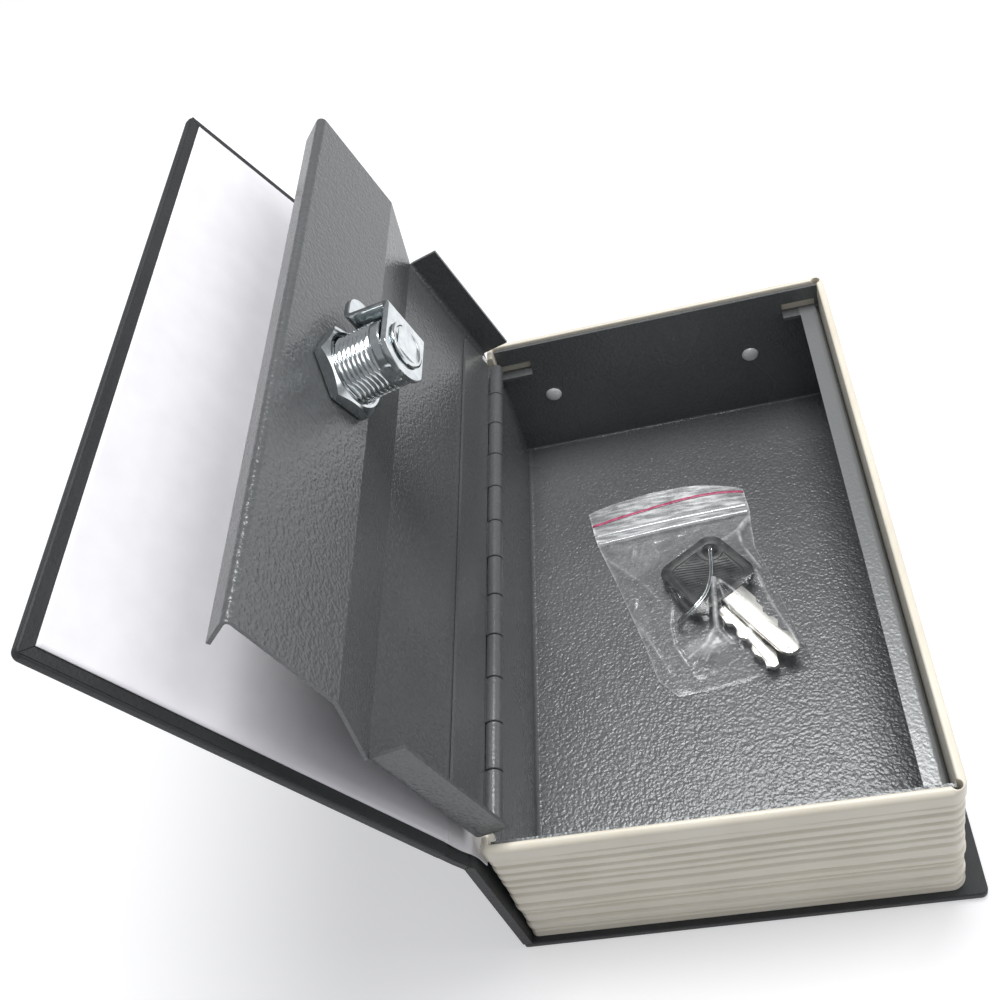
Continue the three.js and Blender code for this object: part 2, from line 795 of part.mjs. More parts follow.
function camRing() {
  const bottom = plateTop + stackGap / 2;
  const top = bottom + camRingHeight;
  return cutBy(solid(cylinder(camRingRadius, bottom, top)), [tailHole(bottom, top)]);
}

// Bag and keys, drawn where they lie on the tray's floor

function bagOutline(inset) {
  const corners = [bagNearSpine, bagNearFore, bagFarFore, bagFarSpine];
  const middle = [0, 1].map((axis) => (
    corners.reduce((sum, corner) => sum + corner[axis], 0) / corners.length));
  return polygon(corners.map((corner) => {
    const away = new THREE.Vector2(corner[0] - middle[0], corner[1] - middle[1]);
    const kept = 1 - (inset * Math.SQRT2) / away.length();
    return [middle[0] + away.x * kept, middle[1] + away.y * kept];
  }));
}

function keyBag() {
  const bottom = sheet + bagGap;
  const top = bottom + bagPocketHeight + 2 * bagFilm;
  const pillow = solid(roundedSlab(bagOutline(0), bottom, top, bagRound));
  const flatOutline = polygon([
    bagNearSpine, bagNearFore, bagFarFore, bagMouthFore, bagMouthSpine, bagFarSpine,
  ]);
  const flat = solid(prism(flatOutline, bottom, bottom + bagFlatHeight));
  const pocket = solid(roundedSlab(bagOutline(bagFilm), bottom + bagFilm, top - bagFilm,
    bagRound - bagFilm));
  const middle = (bagMouthFore[0] + bagMouthSpine[0]) / 2;
  const slit = boxSolid(middle - mouthWidth / 2, middle + mouthWidth / 2, bagFarSpine[1] - mouthWidth,
    bagMouthFore[1] + overrun, bottom + bagFilm, bottom + bagFilm + mouthSlit);
  return cutBy(pillow.add(flat), [pocket, slit]);
}

// Key, drawn with the hole at the origin and the blade along X
function keyHead() {
  const inset = keyHoleInset;
  const far = keyHeadSide - inset;
  const outline = roundedRectangle(-inset, far, -far, inset, Array(4).fill(keyHeadCorner));
  const hole = new THREE.Path();
  hole.absarc(0, 0, keyHoleRadius, 0, 2 * Math.PI, true);
  outline.holes.push(hole);
  return prism(outline, 0, keyHeadThickness);
}

function keyBlade() {
  const root = keyHeadSide - keyHoleInset + keyBladeRoot;
  const middle = keyHoleInset - keyHeadSide / 2;
  const half = keyBladeWidth / 2;
  const tip = root + keyBladeLength;
  const cutShares = [0.34, 0.42, 0.5, 0.58, 0.66, 0.74, 0.84];
  const cuts = cutShares.map((share, index) => [
    root + keyBladeLength * share,
    middle + half - (index % 2 === 0 ? keyCutDepth : keyCutDepth / 3),
  ]);
  const outline = polygon([
    [root, middle - half],
    [tip - half, middle - half],
    [tip, middle - keyCutDepth / 2],
    [tip, middle + keyCutDepth / 2],
    ...cuts.reverse(),
    [root + (keyBladeLength * cutShares[0]) / 2, middle + half],
    [root, middle + half],
  ]);
  const low = (keyHeadThickness - keyBladeThickness) / 2;
  return prism(outline, low, low + keyBladeThickness);
}

// Wire ring through both keys: down through the holes, under the heads and back over their side
function keyRing(lowKey, highKey) {
  const lift = ringWire + keyStackGap;
  const under = lowKey - lift;
  const over = highKey + keyHeadThickness + lift;
  const reach = keyHeadSide - keyHoleInset + lift + ringWire;
  const points = ringPathShares.map(([along, across, rise]) => (
    new THREE.Vector3(along * reach, across * reach, under + rise * (over - under))));
  const path = new THREE.CatmullRomCurve3(points);
  const section = new THREE.Shape().absarc(0, 0, ringWire, 0, 2 * Math.PI);
  return new THREE.ExtrudeGeometry(plainOutline(section, wireSides / 2), {
    steps: wireSteps, extrudePath: path, bevelEnabled: false,
  });
}

// Assembly

function boxParts() {
  const group = new THREE.Group();
  group.add(
    piece('back_board', backBoard(), blackCloth),
    piece('spine_board', spineBoard(), blackCloth),
    piece('joint_cloth', jointCloth(), blackCloth),
    piece('page_block', pageBlock(), ivoryPlastic),
    piece('steel_tray', steelTray(), hammertone),
  );
  rivetPlaces().forEach((place, index) => {
    group.add(piece(`tray_rivet_${index + 1}`, trayRivet(place), rivetSteel));
  });
  return group;
}

function hingeParts() {
  const group = new THREE.Group();
  group.position.set(hingeX, 0, hingeZ);
  group.add(
    piece('hinge_leaf_box', boxLeaf(), hammertone),
    piece('hinge_pin', hingePin(), rivetSteel),
  );
  return group;
}

function lockParts() {
  const group = new THREE.Group();
  group.position.set(lockReach, lockMiddle, panelInner);
  group.rotation.y = Math.PI;
  group.add(
    piece('lock_barrel', lockBarrel(), zincPlate),
    piece('lock_nut', lockNut(), zincPlate),
    piece('lock_plug', lockPlug(), zincPlate),
    piece('lock_cam', lockCam(), zincPlate),
    piece('cam_ring', camRing(), zincPlate),
  );
  for (let index = 0; index < waferCount; index += 1) {
    group.add(piece(`plug_wafer_${index + 1}`, plugWafer(index), zincPlate));
  }
  return group;
}

function doorParts() {
  const group = new THREE.Group();
  group.position.set(hingeX, 0, hingeZ);
  group.rotation.y = -THREE.MathUtils.degToRad(doorRestAngle);
  group.add(
    piece('door_panel', doorPanel(), hammertone),
    piece('hinge_leaf_door', doorLeaf(), hammertone),
    lockParts(),
  );
  return group;
}

function coverParts() {
  const group = new THREE.Group();
  group.position.set(boardStart, 0, coverAxisHeight);
  group.rotation.y = -THREE.MathUtils.degToRad(coverRestAngle);
  group.add(
    piece('front_board', frontBoard(), blackCloth),
    piece('endpaper', endpaper(), paperWhite),
  );
  return group;
}

function keyParts() {
  const group = new THREE.Group();
  const lowKey = sheet + bagGap + bagFilm + keyFloorGap;
  const highKey = lowKey + keyHeadThickness + keyStackGap;
  const levels = [highKey, lowKey];
  const turns = [keyTurn, keyTurn + keySkew];
  levels.forEach((level, index) => {
    const key = new THREE.Group();
    key.position.set(keyHole[0], keyHole[1], level);
    key.rotation.z = THREE.MathUtils.degToRad(turns[index]);
    key.add(
      piece(`key_${index + 1}_head`, keyHead(), blackPlastic),
      piece(`key_${index + 1}_blade`, keyBlade(), zincPlate),
    );
    group.add(key);
  });
  const loop = new THREE.Group();
  loop.position.set(keyHole[0], keyHole[1], 0);
  loop.rotation.z = THREE.MathUtils.degToRad(keyTurn);
  loop.add(piece('key_ring', keyRing(lowKey, highKey), zincPlate));
  group.add(piece('key_bag', keyBag(), bagPlastic), loop);
  return group;
}

// The origin is the middle of the back cover's underside
const bookSafe = new THREE.Group();
bookSafe.position.set(-(boardStart + boardEnd) / 2, -blockLength / 2, boardThickness);
bookSafe.add(boxParts(), hingeParts(), doorParts(), coverParts(), keyParts());

export default bookSafe;
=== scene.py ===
import json
import math

import bmesh
import bpy
import numpy as np
from mathutils import Matrix, Vector, noise


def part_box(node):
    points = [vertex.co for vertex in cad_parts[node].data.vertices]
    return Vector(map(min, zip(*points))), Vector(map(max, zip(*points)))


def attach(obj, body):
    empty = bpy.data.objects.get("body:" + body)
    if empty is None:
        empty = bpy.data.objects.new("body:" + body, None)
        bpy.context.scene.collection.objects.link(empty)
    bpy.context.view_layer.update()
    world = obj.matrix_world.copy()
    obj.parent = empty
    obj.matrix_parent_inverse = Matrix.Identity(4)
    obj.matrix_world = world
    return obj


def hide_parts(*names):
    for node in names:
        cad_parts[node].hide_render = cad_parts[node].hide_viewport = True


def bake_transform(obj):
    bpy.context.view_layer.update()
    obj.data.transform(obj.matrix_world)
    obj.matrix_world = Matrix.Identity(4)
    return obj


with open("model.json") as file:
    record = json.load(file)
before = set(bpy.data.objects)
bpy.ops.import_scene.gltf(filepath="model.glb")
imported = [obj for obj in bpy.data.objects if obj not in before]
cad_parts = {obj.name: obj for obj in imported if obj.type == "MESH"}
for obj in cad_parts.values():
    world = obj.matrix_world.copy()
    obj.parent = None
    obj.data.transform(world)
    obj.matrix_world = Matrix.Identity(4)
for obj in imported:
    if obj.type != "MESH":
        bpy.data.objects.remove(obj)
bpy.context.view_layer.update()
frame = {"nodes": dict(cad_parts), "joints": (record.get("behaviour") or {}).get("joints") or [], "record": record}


# Camera
# The photograph looks down over the near end of the open book, from a little to the fore-edge
# side, and is turned slightly. Lens, place and turn are solved from the object's corners.
def placed(name, data, finish=None):
    """An object in the scene for data that already holds its place, such as a mesh's points."""
    thing = bpy.data.objects.new(name, data)
    bpy.context.scene.collection.objects.link(thing)
    if finish:
        data.materials.clear()
        data.materials.append(finish)
    return thing


def own_frame(place, *axes):
    """The matrix of a part's own frame, from its place and its three axes."""
    matrix = Matrix(axes).transposed().to_4x4()
    matrix.translation = place
    return matrix


mm = 0.001
sight = Vector((-0.1997, 0.6710, -0.7141)).normalized()
across_picture = sight.cross(Vector((0.1796, 0.7415, 0.6465))).normalized()
camera = placed("camera", bpy.data.cameras.new("camera"))
camera.data.sensor_width = 36
camera.data.lens = 43.36
camera.data.clip_start = 0.01
camera.matrix_world = own_frame(Vector((18.87, -210.33, 294.5)) * mm,
                                across_picture, across_picture.cross(sight), -sight)
bpy.context.scene.camera = camera
bpy.context.scene.view_settings.view_transform = "Standard"


# Table top
# A matt white table that runs on behind the book. It is white to the eye and in the metal's
# reflections, and still takes the book's soft shadow.
def linear(code):
    """An sRGB hex colour as the linear values that a socket takes."""
    shares = [int(code[i:i + 2], 16) / 255 for i in (1, 3, 5)]
    return (*(x / 12.92 if x <= 0.04045 else ((x + 0.055) / 1.055) ** 2.4 for x in shares), 1)


def node(tree, kind, inputs=None, stops=(), **settings):
    """A node with its settings. An input takes a value, a socket, a node for its first output, or
    a list of nodes that it joins. A ramp takes its stops as (place, sRGB hex colour)."""
    made = tree.nodes.new(kind if "Node" in kind else "ShaderNode" + kind)
    for name, value in settings.items():
        setattr(made, name, value)
    for name, given in (inputs or {}).items():
        for value in given if isinstance(given, list) else [given]:
            if isinstance(value, bpy.types.Node):
                value = value.outputs[0]
            if isinstance(value, bpy.types.NodeSocket):
                tree.links.new(value, made.inputs[name])
            else:
                made.inputs[name].default_value = value
    for index, (place, code) in enumerate(stops):
        made.color_ramp.elements[index].position = place
        made.color_ramp.elements[index].color = linear(code)
    return made


def empty_tree(owner):
    """The node tree of a material or a world, emptied."""
    owner.use_nodes = True
    owner.node_tree.nodes.clear()
    return owner.node_tree


def mesh_of(name, points=(), faces=()):
    """A mesh from its points and the numbers of the points round each face, or an empty one."""
    mesh = bpy.data.meshes.new(name)
    mesh.from_pydata(points, [], faces)
    return mesh


table_reach = 9
corners = [(x * table_reach, y * table_reach, 0) for x, y in ((-1, -1), (1, -1), (1, 1), (-1, 1))]
white_laminate = bpy.data.materials.new("white_laminate")
tree = empty_tree(white_laminate)
seen = node(tree, "LightPath").outputs
shown = seen["Is Camera Ray"]
for ray in ("Is Glossy Ray", "Is Transmission Ray"):
    shown = node(tree, "Math", {0: shown, 1: seen[ray]}, operation="MAXIMUM")
lift = node(tree, "Math", {0: shown, 1: 0.45}, operation="MULTIPLY")
laminate = node(tree, "BsdfDiffuse", {"Color": linear("#d6d6d8"), "Roughness": 0.6})
glow = node(tree, "Emission", {"Color": linear("#ffffff"), "Strength": lift})
node(tree, "OutputMaterial", {"Surface": node(tree, "AddShader", {0: laminate, 1: glow})})
placed("table_top", mesh_of("table_top", corners, [(0, 1, 2, 3)]), white_laminate)


# Light
# Soft daylight from all round, a lamp overhead, whose mirror image breaks up into the sparkle
# on the near part of the tray's floor, and a large window beyond the fore-edge, which lights
# the cover's lining and the door.
daylight = bpy.data.worlds.new("daylight")
bpy.context.scene.world = daylight
tree = empty_tree(daylight)
seen = node(tree, "LightPath").outputs
sky = node(tree, "Background", {"Color": linear("#f4f6fa"), "Strength": 0.42})
for ray, colour, strength in (("Is Glossy Ray", "#f4f6fa", 0.38), ("Is Camera Ray", "#ffffff", 1.0)):
    other = node(tree, "Background", {"Color": linear(colour), "Strength": strength})
    sky = node(tree, "MixShader", {0: seen[ray], 1: sky, 2: other})
node(tree, "OutputWorld", {"Surface": sky})

book_middle = Vector((-0.02, 0, 0.03))
for name, place, side, power in (
    ("ceiling_lamp", (0.05, 0.19, 0.92), 0.40, 6.4),
    ("window_lamp", (0.85, 0.12, 0.62), 0.70, 3.3),
):
    lamp = placed(name, bpy.data.lights.new(name, "AREA"))
    lamp.data.shape = "SQUARE"
    lamp.data.size = side
    lamp.data.energy = power
    lamp.location = place
    lamp.rotation_mode = "QUATERNION"
    lamp.rotation_quaternion = (book_middle - Vector(place)).to_track_quat("-Z", "Y")


# Book case: back cover, spine and front cover
# Grey board wrapped in black leatherette paper, which is glued down and turned in over the
# edges. The three boards are joined by the same paper, which bends at the joints.
def new_finish(name):
    """A new material, its empty tree, and the place on the object, which its patterns follow."""
    material = bpy.data.materials.new(name)
    tree = empty_tree(material)
    return material, tree, node(tree, "TexCoord").outputs["Object"]


def end_finish(tree, inputs):
    """Ends a material's tree with its one shader."""
    node(tree, "OutputMaterial", {"Surface": node(tree, "BsdfPrincipled", inputs)})


def stands_for(piece, *nodes):
    """Puts a finished piece in the place of CAD nodes of one body."""
    record = frame["record"]
    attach(piece, next(b for b, held in record["behaviour"]["bodies"].items() if nodes[0] in held))
    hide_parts(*nodes)
    return piece


def smooth(mesh, fold=None):
    """Shades a mesh smooth but for folds sharper than an angle in degrees."""
    mesh.shade_smooth()
    if fold:
        mesh.set_sharp_from_angle(angle=math.radians(fold))
    return mesh


def mesh_from(shape, mesh, fold=None):
    """Writes a bmesh into a mesh, frees it, and shades the mesh smooth."""
    shape.to_mesh(mesh)
    shape.free()
    return smooth(mesh, fold)


def result_of(thing, name):
    """The plain mesh of an object with its modifiers applied. The object itself goes."""
    mesh = bpy.data.meshes.new_from_object(thing.evaluated_get(bpy.context.evaluated_depsgraph_get()))
    bpy.data.objects.remove(thing)
    mesh.name = name
    return mesh


def softened(cad_node, name, finish, fold=35):
    """A merged copy of a CAD node with its flat faces whole, its folds smooth and its corners sharp."""
    shape = bmesh.new()
    shape.from_mesh(frame["nodes"][cad_node].data)
    bmesh.ops.remove_doubles(shape, verts=shape.verts, dist=0.002 * mm)
    bmesh.ops.dissolve_limit(shape, angle_limit=math.radians(0.3), verts=shape.verts, edges=shape.edges)
    copy = placed(name + "_copy", mesh_from(shape, mesh_of(name), fold))
    copy.modifiers.new("even_faces", "WEIGHTED_NORMAL").keep_sharp = True
    return stands_for(placed(name, result_of(copy, name), finish), cad_node)


# Leatherette: paper pressed with a fine pebbled grain, half matt. The real grain is about
# 0.5 mm, drawn 0.9 mm wide so that it shows.
leatherette, tree, spot = new_finish("black_leatherette_paper")
grain = node(tree, "TexVoronoi", {"Vector": spot, "Scale": 1 / (0.9 * mm)}, feature="SMOOTH_F1")
fibre = node(tree, "TexNoise", {"Vector": spot, "Scale": 1 / (0.25 * mm), "Detail": 3.0})
cloud = node(tree, "TexNoise", {"Vector": spot, "Scale": 1 / (14 * mm), "Detail": 2.0})
relief = node(tree, "Math", {0: grain, 1: fibre}, operation="ADD")
end_finish(tree, {
    "Base Color": node(tree, "ValToRGB", {"Fac": cloud}, ((0.35, "#292a2c"), (0.65, "#2e3032"))),
    "Normal": node(tree, "Bump", {"Height": relief, "Strength": 0.7, "Distance": 0.14 * mm}),
    "Roughness": node(tree, "MapRange", {"Value": fibre, "To Min": 0.48, "To Max": 0.68}),
})

softened("back_board", "back_cover", leatherette)
softened("spine_board", "spine", leatherette)


# Joint: the paper, turned in and doubled at its ends, bends from the spine round to the cover
def skinned(rings, looped=False, merge=None, shape=None):
    """A closed body over rings of points, capped at both ends or run on from the last to the first."""
    shape = bmesh.new() if shape is None else shape
    rows = [[shape.verts.new(p) for p in ring] for ring in rings]
    count = len(rows[0])
    for near, far in zip(rows, rows[1:] + rows[:1] if looped else rows[1:]):
        for i in range(count):
            j = (i + 1) % count
            shape.faces.new((near[i], near[j], far[j], far[i]))
    if not looped:
        shape.faces.new(rows[0][::-1])
        shape.faces.new(rows[-1])
    if merge:
        bmesh.ops.remove_doubles(shape, verts=shape.verts, dist=merge)
    bmesh.ops.recalc_face_normals(shape, faces=shape.faces)
    return shape


def lengths_along(line):
    """How far along a line each of its points lies."""
    return np.concatenate([[0], np.cumsum([(b - a).length for a, b in zip(line, line[1:])])])


def bent_strip(name, line, thick, half, finish, steps=16):
    """A strip of sheet along a line of (x, z) points, from end to end of the book, closed all round."""
    line = [Vector((x, z)) * mm for x, z in line]
    lengths = lengths_along(line)
    stops = np.linspace(0, lengths[-1], steps)
    xs = np.interp(stops, lengths, [p.x for p in line])
    zs = np.interp(stops, lengths, [p.y for p in line])
    for _ in range(3):
        xs[1:-1] = (xs[:-2] + 2 * xs[1:-1] + xs[2:]) / 4
        zs[1:-1] = (zs[:-2] + 2 * zs[1:-1] + zs[2:]) / 4
    section = []
    for order, sign in ((range(steps), 1), (reversed(range(steps)), -1)):
        for i in order:
            a, b = max(i - 1, 0), min(i + 1, steps - 1)
            side = Vector((zs[b] - zs[a], xs[a] - xs[b])).normalized() * thick / 2 * sign
            section.append((xs[i] + side.x, zs[i] + side.y))
    rings = [[(x, y, z) for x, z in section] for y in np.linspace(-half, half, 49)]
    return placed(name, mesh_from(skinned(rings), mesh_of(name), 50), finish)


joint = bent_strip("cover_joint", [
    (-57.25, 44.0), (-57.4, 46.8), (-58.6, 48.7), (-59.8, 50.7), (-60.8, 52.6), (-61.75, 54.6), (-62.7, 56.4),
], 1.7 * mm, 89.1 * mm, leatherette)
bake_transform(joint)
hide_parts("joint_cloth")
softened("front_board", "front_cover", leatherette)


# Turned-in edges of the front cover: strips of the same paper with mitred corners, pasted on
# the inside of the board before the lining. The cover's own frame runs from its joint outward.
def joint_of(name):
    """The place and the axis of a CAD joint."""
    joint = next(j for j in frame["joints"] if j["name"] == name)
    return Vector(joint["pos_m"]), Vector(joint["axis"]).normalized()


def swung(degrees):
    """The outward and the backward direction of a board that stands open by an angle."""
    a = math.radians(degrees)
    return Vector((math.cos(a), 0, math.sin(a))), Vector((-math.sin(a), 0, math.cos(a)))


upright = Vector((0, 1, 0))
cover_out, cover_back = swung(117.3)
cover_place = own_frame(joint_of("cover_hinge")[0], cover_out, upright, cover_back)
cover_reach = 113.1 * mm
cover_half = 89.2 * mm
board_inside = 1.3 * mm
joint_gap = 6 * mm
turn_in = 15 * mm
turn_in_paper = 0.16 * mm
edge_inset = 0.5 * mm
mitre = 0.12 * mm


def cover_corners(inset):
    """Corners of the cover's inside, from the joint round to the joint, at an inset from its edges."""
    reach, half = cover_reach - inset, cover_half - inset
    return [Vector((x, y, 0)) for x, y in
            ((joint_gap, -half), (reach, -half), (reach, half), (joint_gap, half))]


outer, inner = cover_corners(edge_inset), cover_corners(turn_in)
strips = bmesh.new()
for side in range(3):
    ring = [outer[side], outer[side + 1], inner[side + 1], inner[side]]
    middle = sum(ring, Vector()) / 4
    ring = [p + (middle - p).normalized() * mitre for p in ring]
    levels = (board_inside - turn_in_paper, board_inside)
    skinned([[p + Vector((0, 0, level)) for p in ring] for level in levels], shape=strips)
strips.transform(cover_place)
turned_in = placed("turned_in_paper", mesh_from(strips, mesh_of("turned_in_paper"), 20), leatherette)
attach(turned_in, "front_cover")


# Lining of the front cover
# A sheet of white uncoated paper pasted over the board and the turned-in edges, 3 mm inside
# the board's edge. The ends of the turned-in paper show through it as a faint step.
lining_inset = 3 * mm
lining_paper = 0.3 * mm
lining_face = 0.72 * mm
rows, columns = 150, 110
along = np.linspace(-cover_half + lining_inset, cover_half - lining_inset, rows)
out = np.linspace(joint_gap, cover_reach - lining_inset, columns)
out_grid, along_grid = np.meshgrid(out, along)
from_edge = np.minimum(cover_reach - out_grid, cover_half - np.abs(along_grid))
step = 1 / (1 + np.exp((from_edge - turn_in) / (0.5 * mm)))
ripple, cockle = (
    np.array([[noise.noise(Vector((x / (wide * mm), y / (long * mm), layer))) for x in out] for y in along])
    for wide, long, layer in ((38, 38, 0.3), (9, 16, 4.1))
)
lift_off = 0.10 * mm * (1 - step) + 0.03 * mm * ripple + 0.01 * mm * cockle
points = np.stack([out_grid, along_grid, lining_face + lift_off], -1).reshape(-1, 3)
faces = [(i, i + columns, i + columns + 1, i + 1)
         for r in range(rows - 1) for i in range(r * columns, (r + 1) * columns - 1)]
mesh = mesh_of("cover_lining", points.tolist(), faces)
mesh.transform(cover_place)
smooth(mesh)

# Uncoated paper: bright, dead matt, with soft fibre clouds a few millimetres wide
uncoated_paper, tree, spot = new_finish("white_uncoated_paper")
cloud = node(tree, "TexNoise", {"Vector": spot, "Scale": 1 / (7 * mm), "Detail": 4.0})
fibre = node(tree, "TexNoise", {"Vector": spot, "Scale": 1 / (0.4 * mm), "Detail": 4.0})
end_finish(tree, {
    "Base Color": node(tree, "ValToRGB", {"Fac": cloud}, ((0.3, "#f0eef2"), (0.7, "#f5f4f7"))),
    "Normal": node(tree, "Bump", {"Height": fibre, "Strength": 0.25, "Distance": 0.03 * mm}),
    "Roughness": 0.92,
    "Specular IOR Level": 0.25,
})

lining = placed("cover_lining", mesh, uncoated_paper)
thickness = lining.modifiers.new("paper_thickness", "SOLIDIFY")
thickness.thickness = lining_paper
thickness.offset = -1
stands_for(lining, "endpaper")

# Hinge of the lining: the same paper goes on across the joint, and is pasted down behind the
# steel tray's hinge, so that it shows as a pale strip beside the block
lining_hinge = bent_strip("lining_hinge", [
    (-54.75, 42.0), (-55.3, 45.6), (-56.2, 47.9), (-57.8, 49.8), (-58.9, 51.8), (-59.75, 53.9),
    (-60.35, 55.4), (-60.75, 56.2),
], lining_paper, 86.2 * mm, uncoated_paper, 20)
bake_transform(lining_hinge)


# Page block
# One ivory plastic frame, moulded to look like the edges of the pages: uneven ribs under a
# plain rounded rim. It is open at the spine but for two short returns that hold the case.
def grown(name, mesh, tree, values, finish):
    """A piece that a tree of Geometry Nodes makes from a mesh, with the tree's inputs set."""
    start = placed(name + "_start", mesh)
    growth = start.modifiers.new("growth", "NODES")
    growth.node_group = tree
    for socket in tree.interface.items_tree:
        if socket.name in values:
            growth[socket.identifier] = values[socket.name]
    return placed(name, result_of(start, name), finish)


def sized_tree(name, sizes):
    """A Geometry Nodes tree with one named input for each size, and its inputs as sockets."""
    tree = bpy.data.node_groups.new(name, "GeometryNodeTree")
    tree.interface.new_socket("Geometry", in_out="INPUT", socket_type="NodeSocketGeometry")
    for size in sizes:
        kind = "NodeSocketInt" if size.endswith("Count") else "NodeSocketFloat"
        tree.interface.new_socket(size, in_out="INPUT", socket_type=kind)
    tree.interface.new_socket("Geometry", in_out="OUTPUT", socket_type="NodeSocketGeometry")
    return tree, node(tree, "NodeGroupInput").outputs


def end_tree(tree, geometry, finish):
    """Ends a tree with plain geometry in its finish."""
    real = node(tree, "GeometryNodeRealizeInstances", {"Geometry": geometry})
    coated = node(tree, "GeometryNodeSetMaterial", {"Geometry": real, "Material": finish})
    node(tree, "NodeGroupOutput", {0: coated})


def point_values(mesh, **lists):
    """Gives each point of a mesh a number or a vector under each name."""
    for name, data in lists.items():
        vector = np.ndim(data) == 2
        made = mesh.attributes.new(name, "FLOAT_VECTOR" if vector else "FLOAT", "POINT")
        made.data.foreach_set("vector" if vector else "value", np.array(data, np.float32).ravel())


# Moulded plastic: ivory, satin, a little translucent, with a faint cloudiness
ivory_plastic, tree, spot = new_finish("ivory_moulded_plastic")
cloud = node(tree, "TexNoise", {"Vector": spot, "Scale": 1 / (22 * mm), "Detail": 2.0})
skin = node(tree, "TexNoise", {"Vector": spot, "Scale": 1 / (0.6 * mm), "Detail": 2.0})
end_finish(tree, {
    "Base Color": node(tree, "ValToRGB", {"Fac": cloud}, ((0.3, "#dfd8c8"), (0.7, "#e9e3d4"))),
    "Normal": node(tree, "Bump", {"Height": skin, "Strength": 0.12, "Distance": 0.04 * mm}),
    "Roughness": node(tree, "MapRange", {"Value": cloud, "To Min": 0.3, "To Max": 0.4}),
    "Subsurface Weight": 0.15,
    "Subsurface Radius": (0.8 * mm, 0.6 * mm, 0.4 * mm),
    "Subsurface Scale": 1.0,
})

block_low, block_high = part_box("page_block")
block = block_high - block_low
block_wall = 2.2 * mm
fore_round = 4 * mm
spine_round = 1.8 * mm
return_length = 7 * mm
return_walls = (1 * mm, 2 * mm)
rib_zone = block.z - 5.4 * mm
step_down = block.z - 6.7 * mm
rim_round = 1.5 * mm
relief_radius = 1.2 * mm
quarter = math.pi / 2

# Stations round the frame: outer point, inward direction, inner point low down and at the rim.
# The corners by the fore-edge have a round pocket inside, which clears the tray's folds.
stations = []
for y in np.linspace(return_length, block_wall, 3):
    stations.append(((0, y), (1, 0), *((wall, y) for wall in return_walls)))
for turn in np.linspace(0, 1, 8):
    a = quarter * turn
    outside = (spine_round * (1 - math.cos(a)), spine_round * (1 - math.sin(a)))
    inside = [(wall + (spine_round * 1.5 - wall) * turn, block_wall) for wall in return_walls]
    stations.append((outside, (math.cos(a), math.sin(a)), *inside))
for x in np.linspace(spine_round * 1.6, block.x - fore_round, 44):
    stations.append(((x, 0), (0, 1), (x, block_wall), (x, block_wall)))
pocket_middle = (fore_round - block_wall - 0.1 * mm) * math.sqrt(2)
for a in np.linspace(0, quarter, 17)[1:-1]:
    aside, ahead = math.sin(a), -math.cos(a)
    square = (fore_round - block_wall) / max(abs(aside), abs(ahead))
    off = math.sin(a - quarter / 2) * pocket_middle
    pocket = 0
    if abs(off) < relief_radius:
        pocket = math.cos(a - quarter / 2) * pocket_middle + math.sqrt(relief_radius ** 2 - off ** 2)
    outside, low_inside, rim_inside = ((block.x - fore_round + d * aside, fore_round + d * ahead)
                                       for d in (fore_round, square, max(square, pocket)))
    stations.append((outside, (-aside, -ahead), low_inside, rim_inside))
for y in np.linspace(fore_round, block.y / 2, 36):
    stations.append(((block.x, y), (-1, 0), (block.x - block_wall, y), (block.x - block_wall, y)))
stations += [tuple((p[0], -p[1]) if i == 1 else (p[0], block.y - p[1]) for i, p in enumerate(station))
             for station in stations[-2::-1]]

outer_heights = np.linspace(0, block.z - rim_round, 190)
rings, inward, ribbed, run = [], [], [], []
travelled = 0.0
for index, (outside, direction, low_inside, rim_inside) in enumerate(stations):
    if index:
        travelled += math.dist(outside, stations[index - 1][0])
    outside, low_inside, rim_inside = Vector(outside), Vector(low_inside), Vector(rim_inside)
    wall = (rim_inside - outside).length
    towards = (rim_inside - outside).normalized()
    rim = min(rim_round, wall * 0.7)
    inner_rim = min(0.5 * mm, wall * 0.25)
    ring = [(outside, z, 1.0) for z in outer_heights]
    for a in np.linspace(0, quarter, 8)[1:]:
        ring.append((outside + towards * rim * (1 - math.cos(a)),
                     block.z - rim_round + rim_round * math.sin(a), 0.0))
    for a in np.linspace(0, quarter, 5):
        ring.append((rim_inside - towards * inner_rim * (1 - math.sin(a)),
                     block.z - inner_rim * (1 - math.cos(a)), 0.0))
    ring += [(rim_inside, step_down, 0.0), (low_inside, step_down, 0.0), (low_inside, 0, 0.0)]
    rings.append([(block_low.x + place.x, block_low.y + place.y, block_low.z + z) for place, z, _ in ring])
    for _, z, share in ring:
        from_foot, from_rim = (z - 0.2 * mm) / (0.8 * mm), (rib_zone + 0.6 * mm - z) / (1.2 * mm)
        ribbed.append(share * min(1, max(0, from_foot)) * min(1, max(0, from_rim)))
    inward += [(*direction, 0)] * len(ring)
    run += [travelled] * len(ring)
mesh = bpy.data.meshes.new("page_block_body")
skinned(rings).to_mesh(mesh)
point_values(mesh, inward=inward, ribbed=ribbed, run=run)

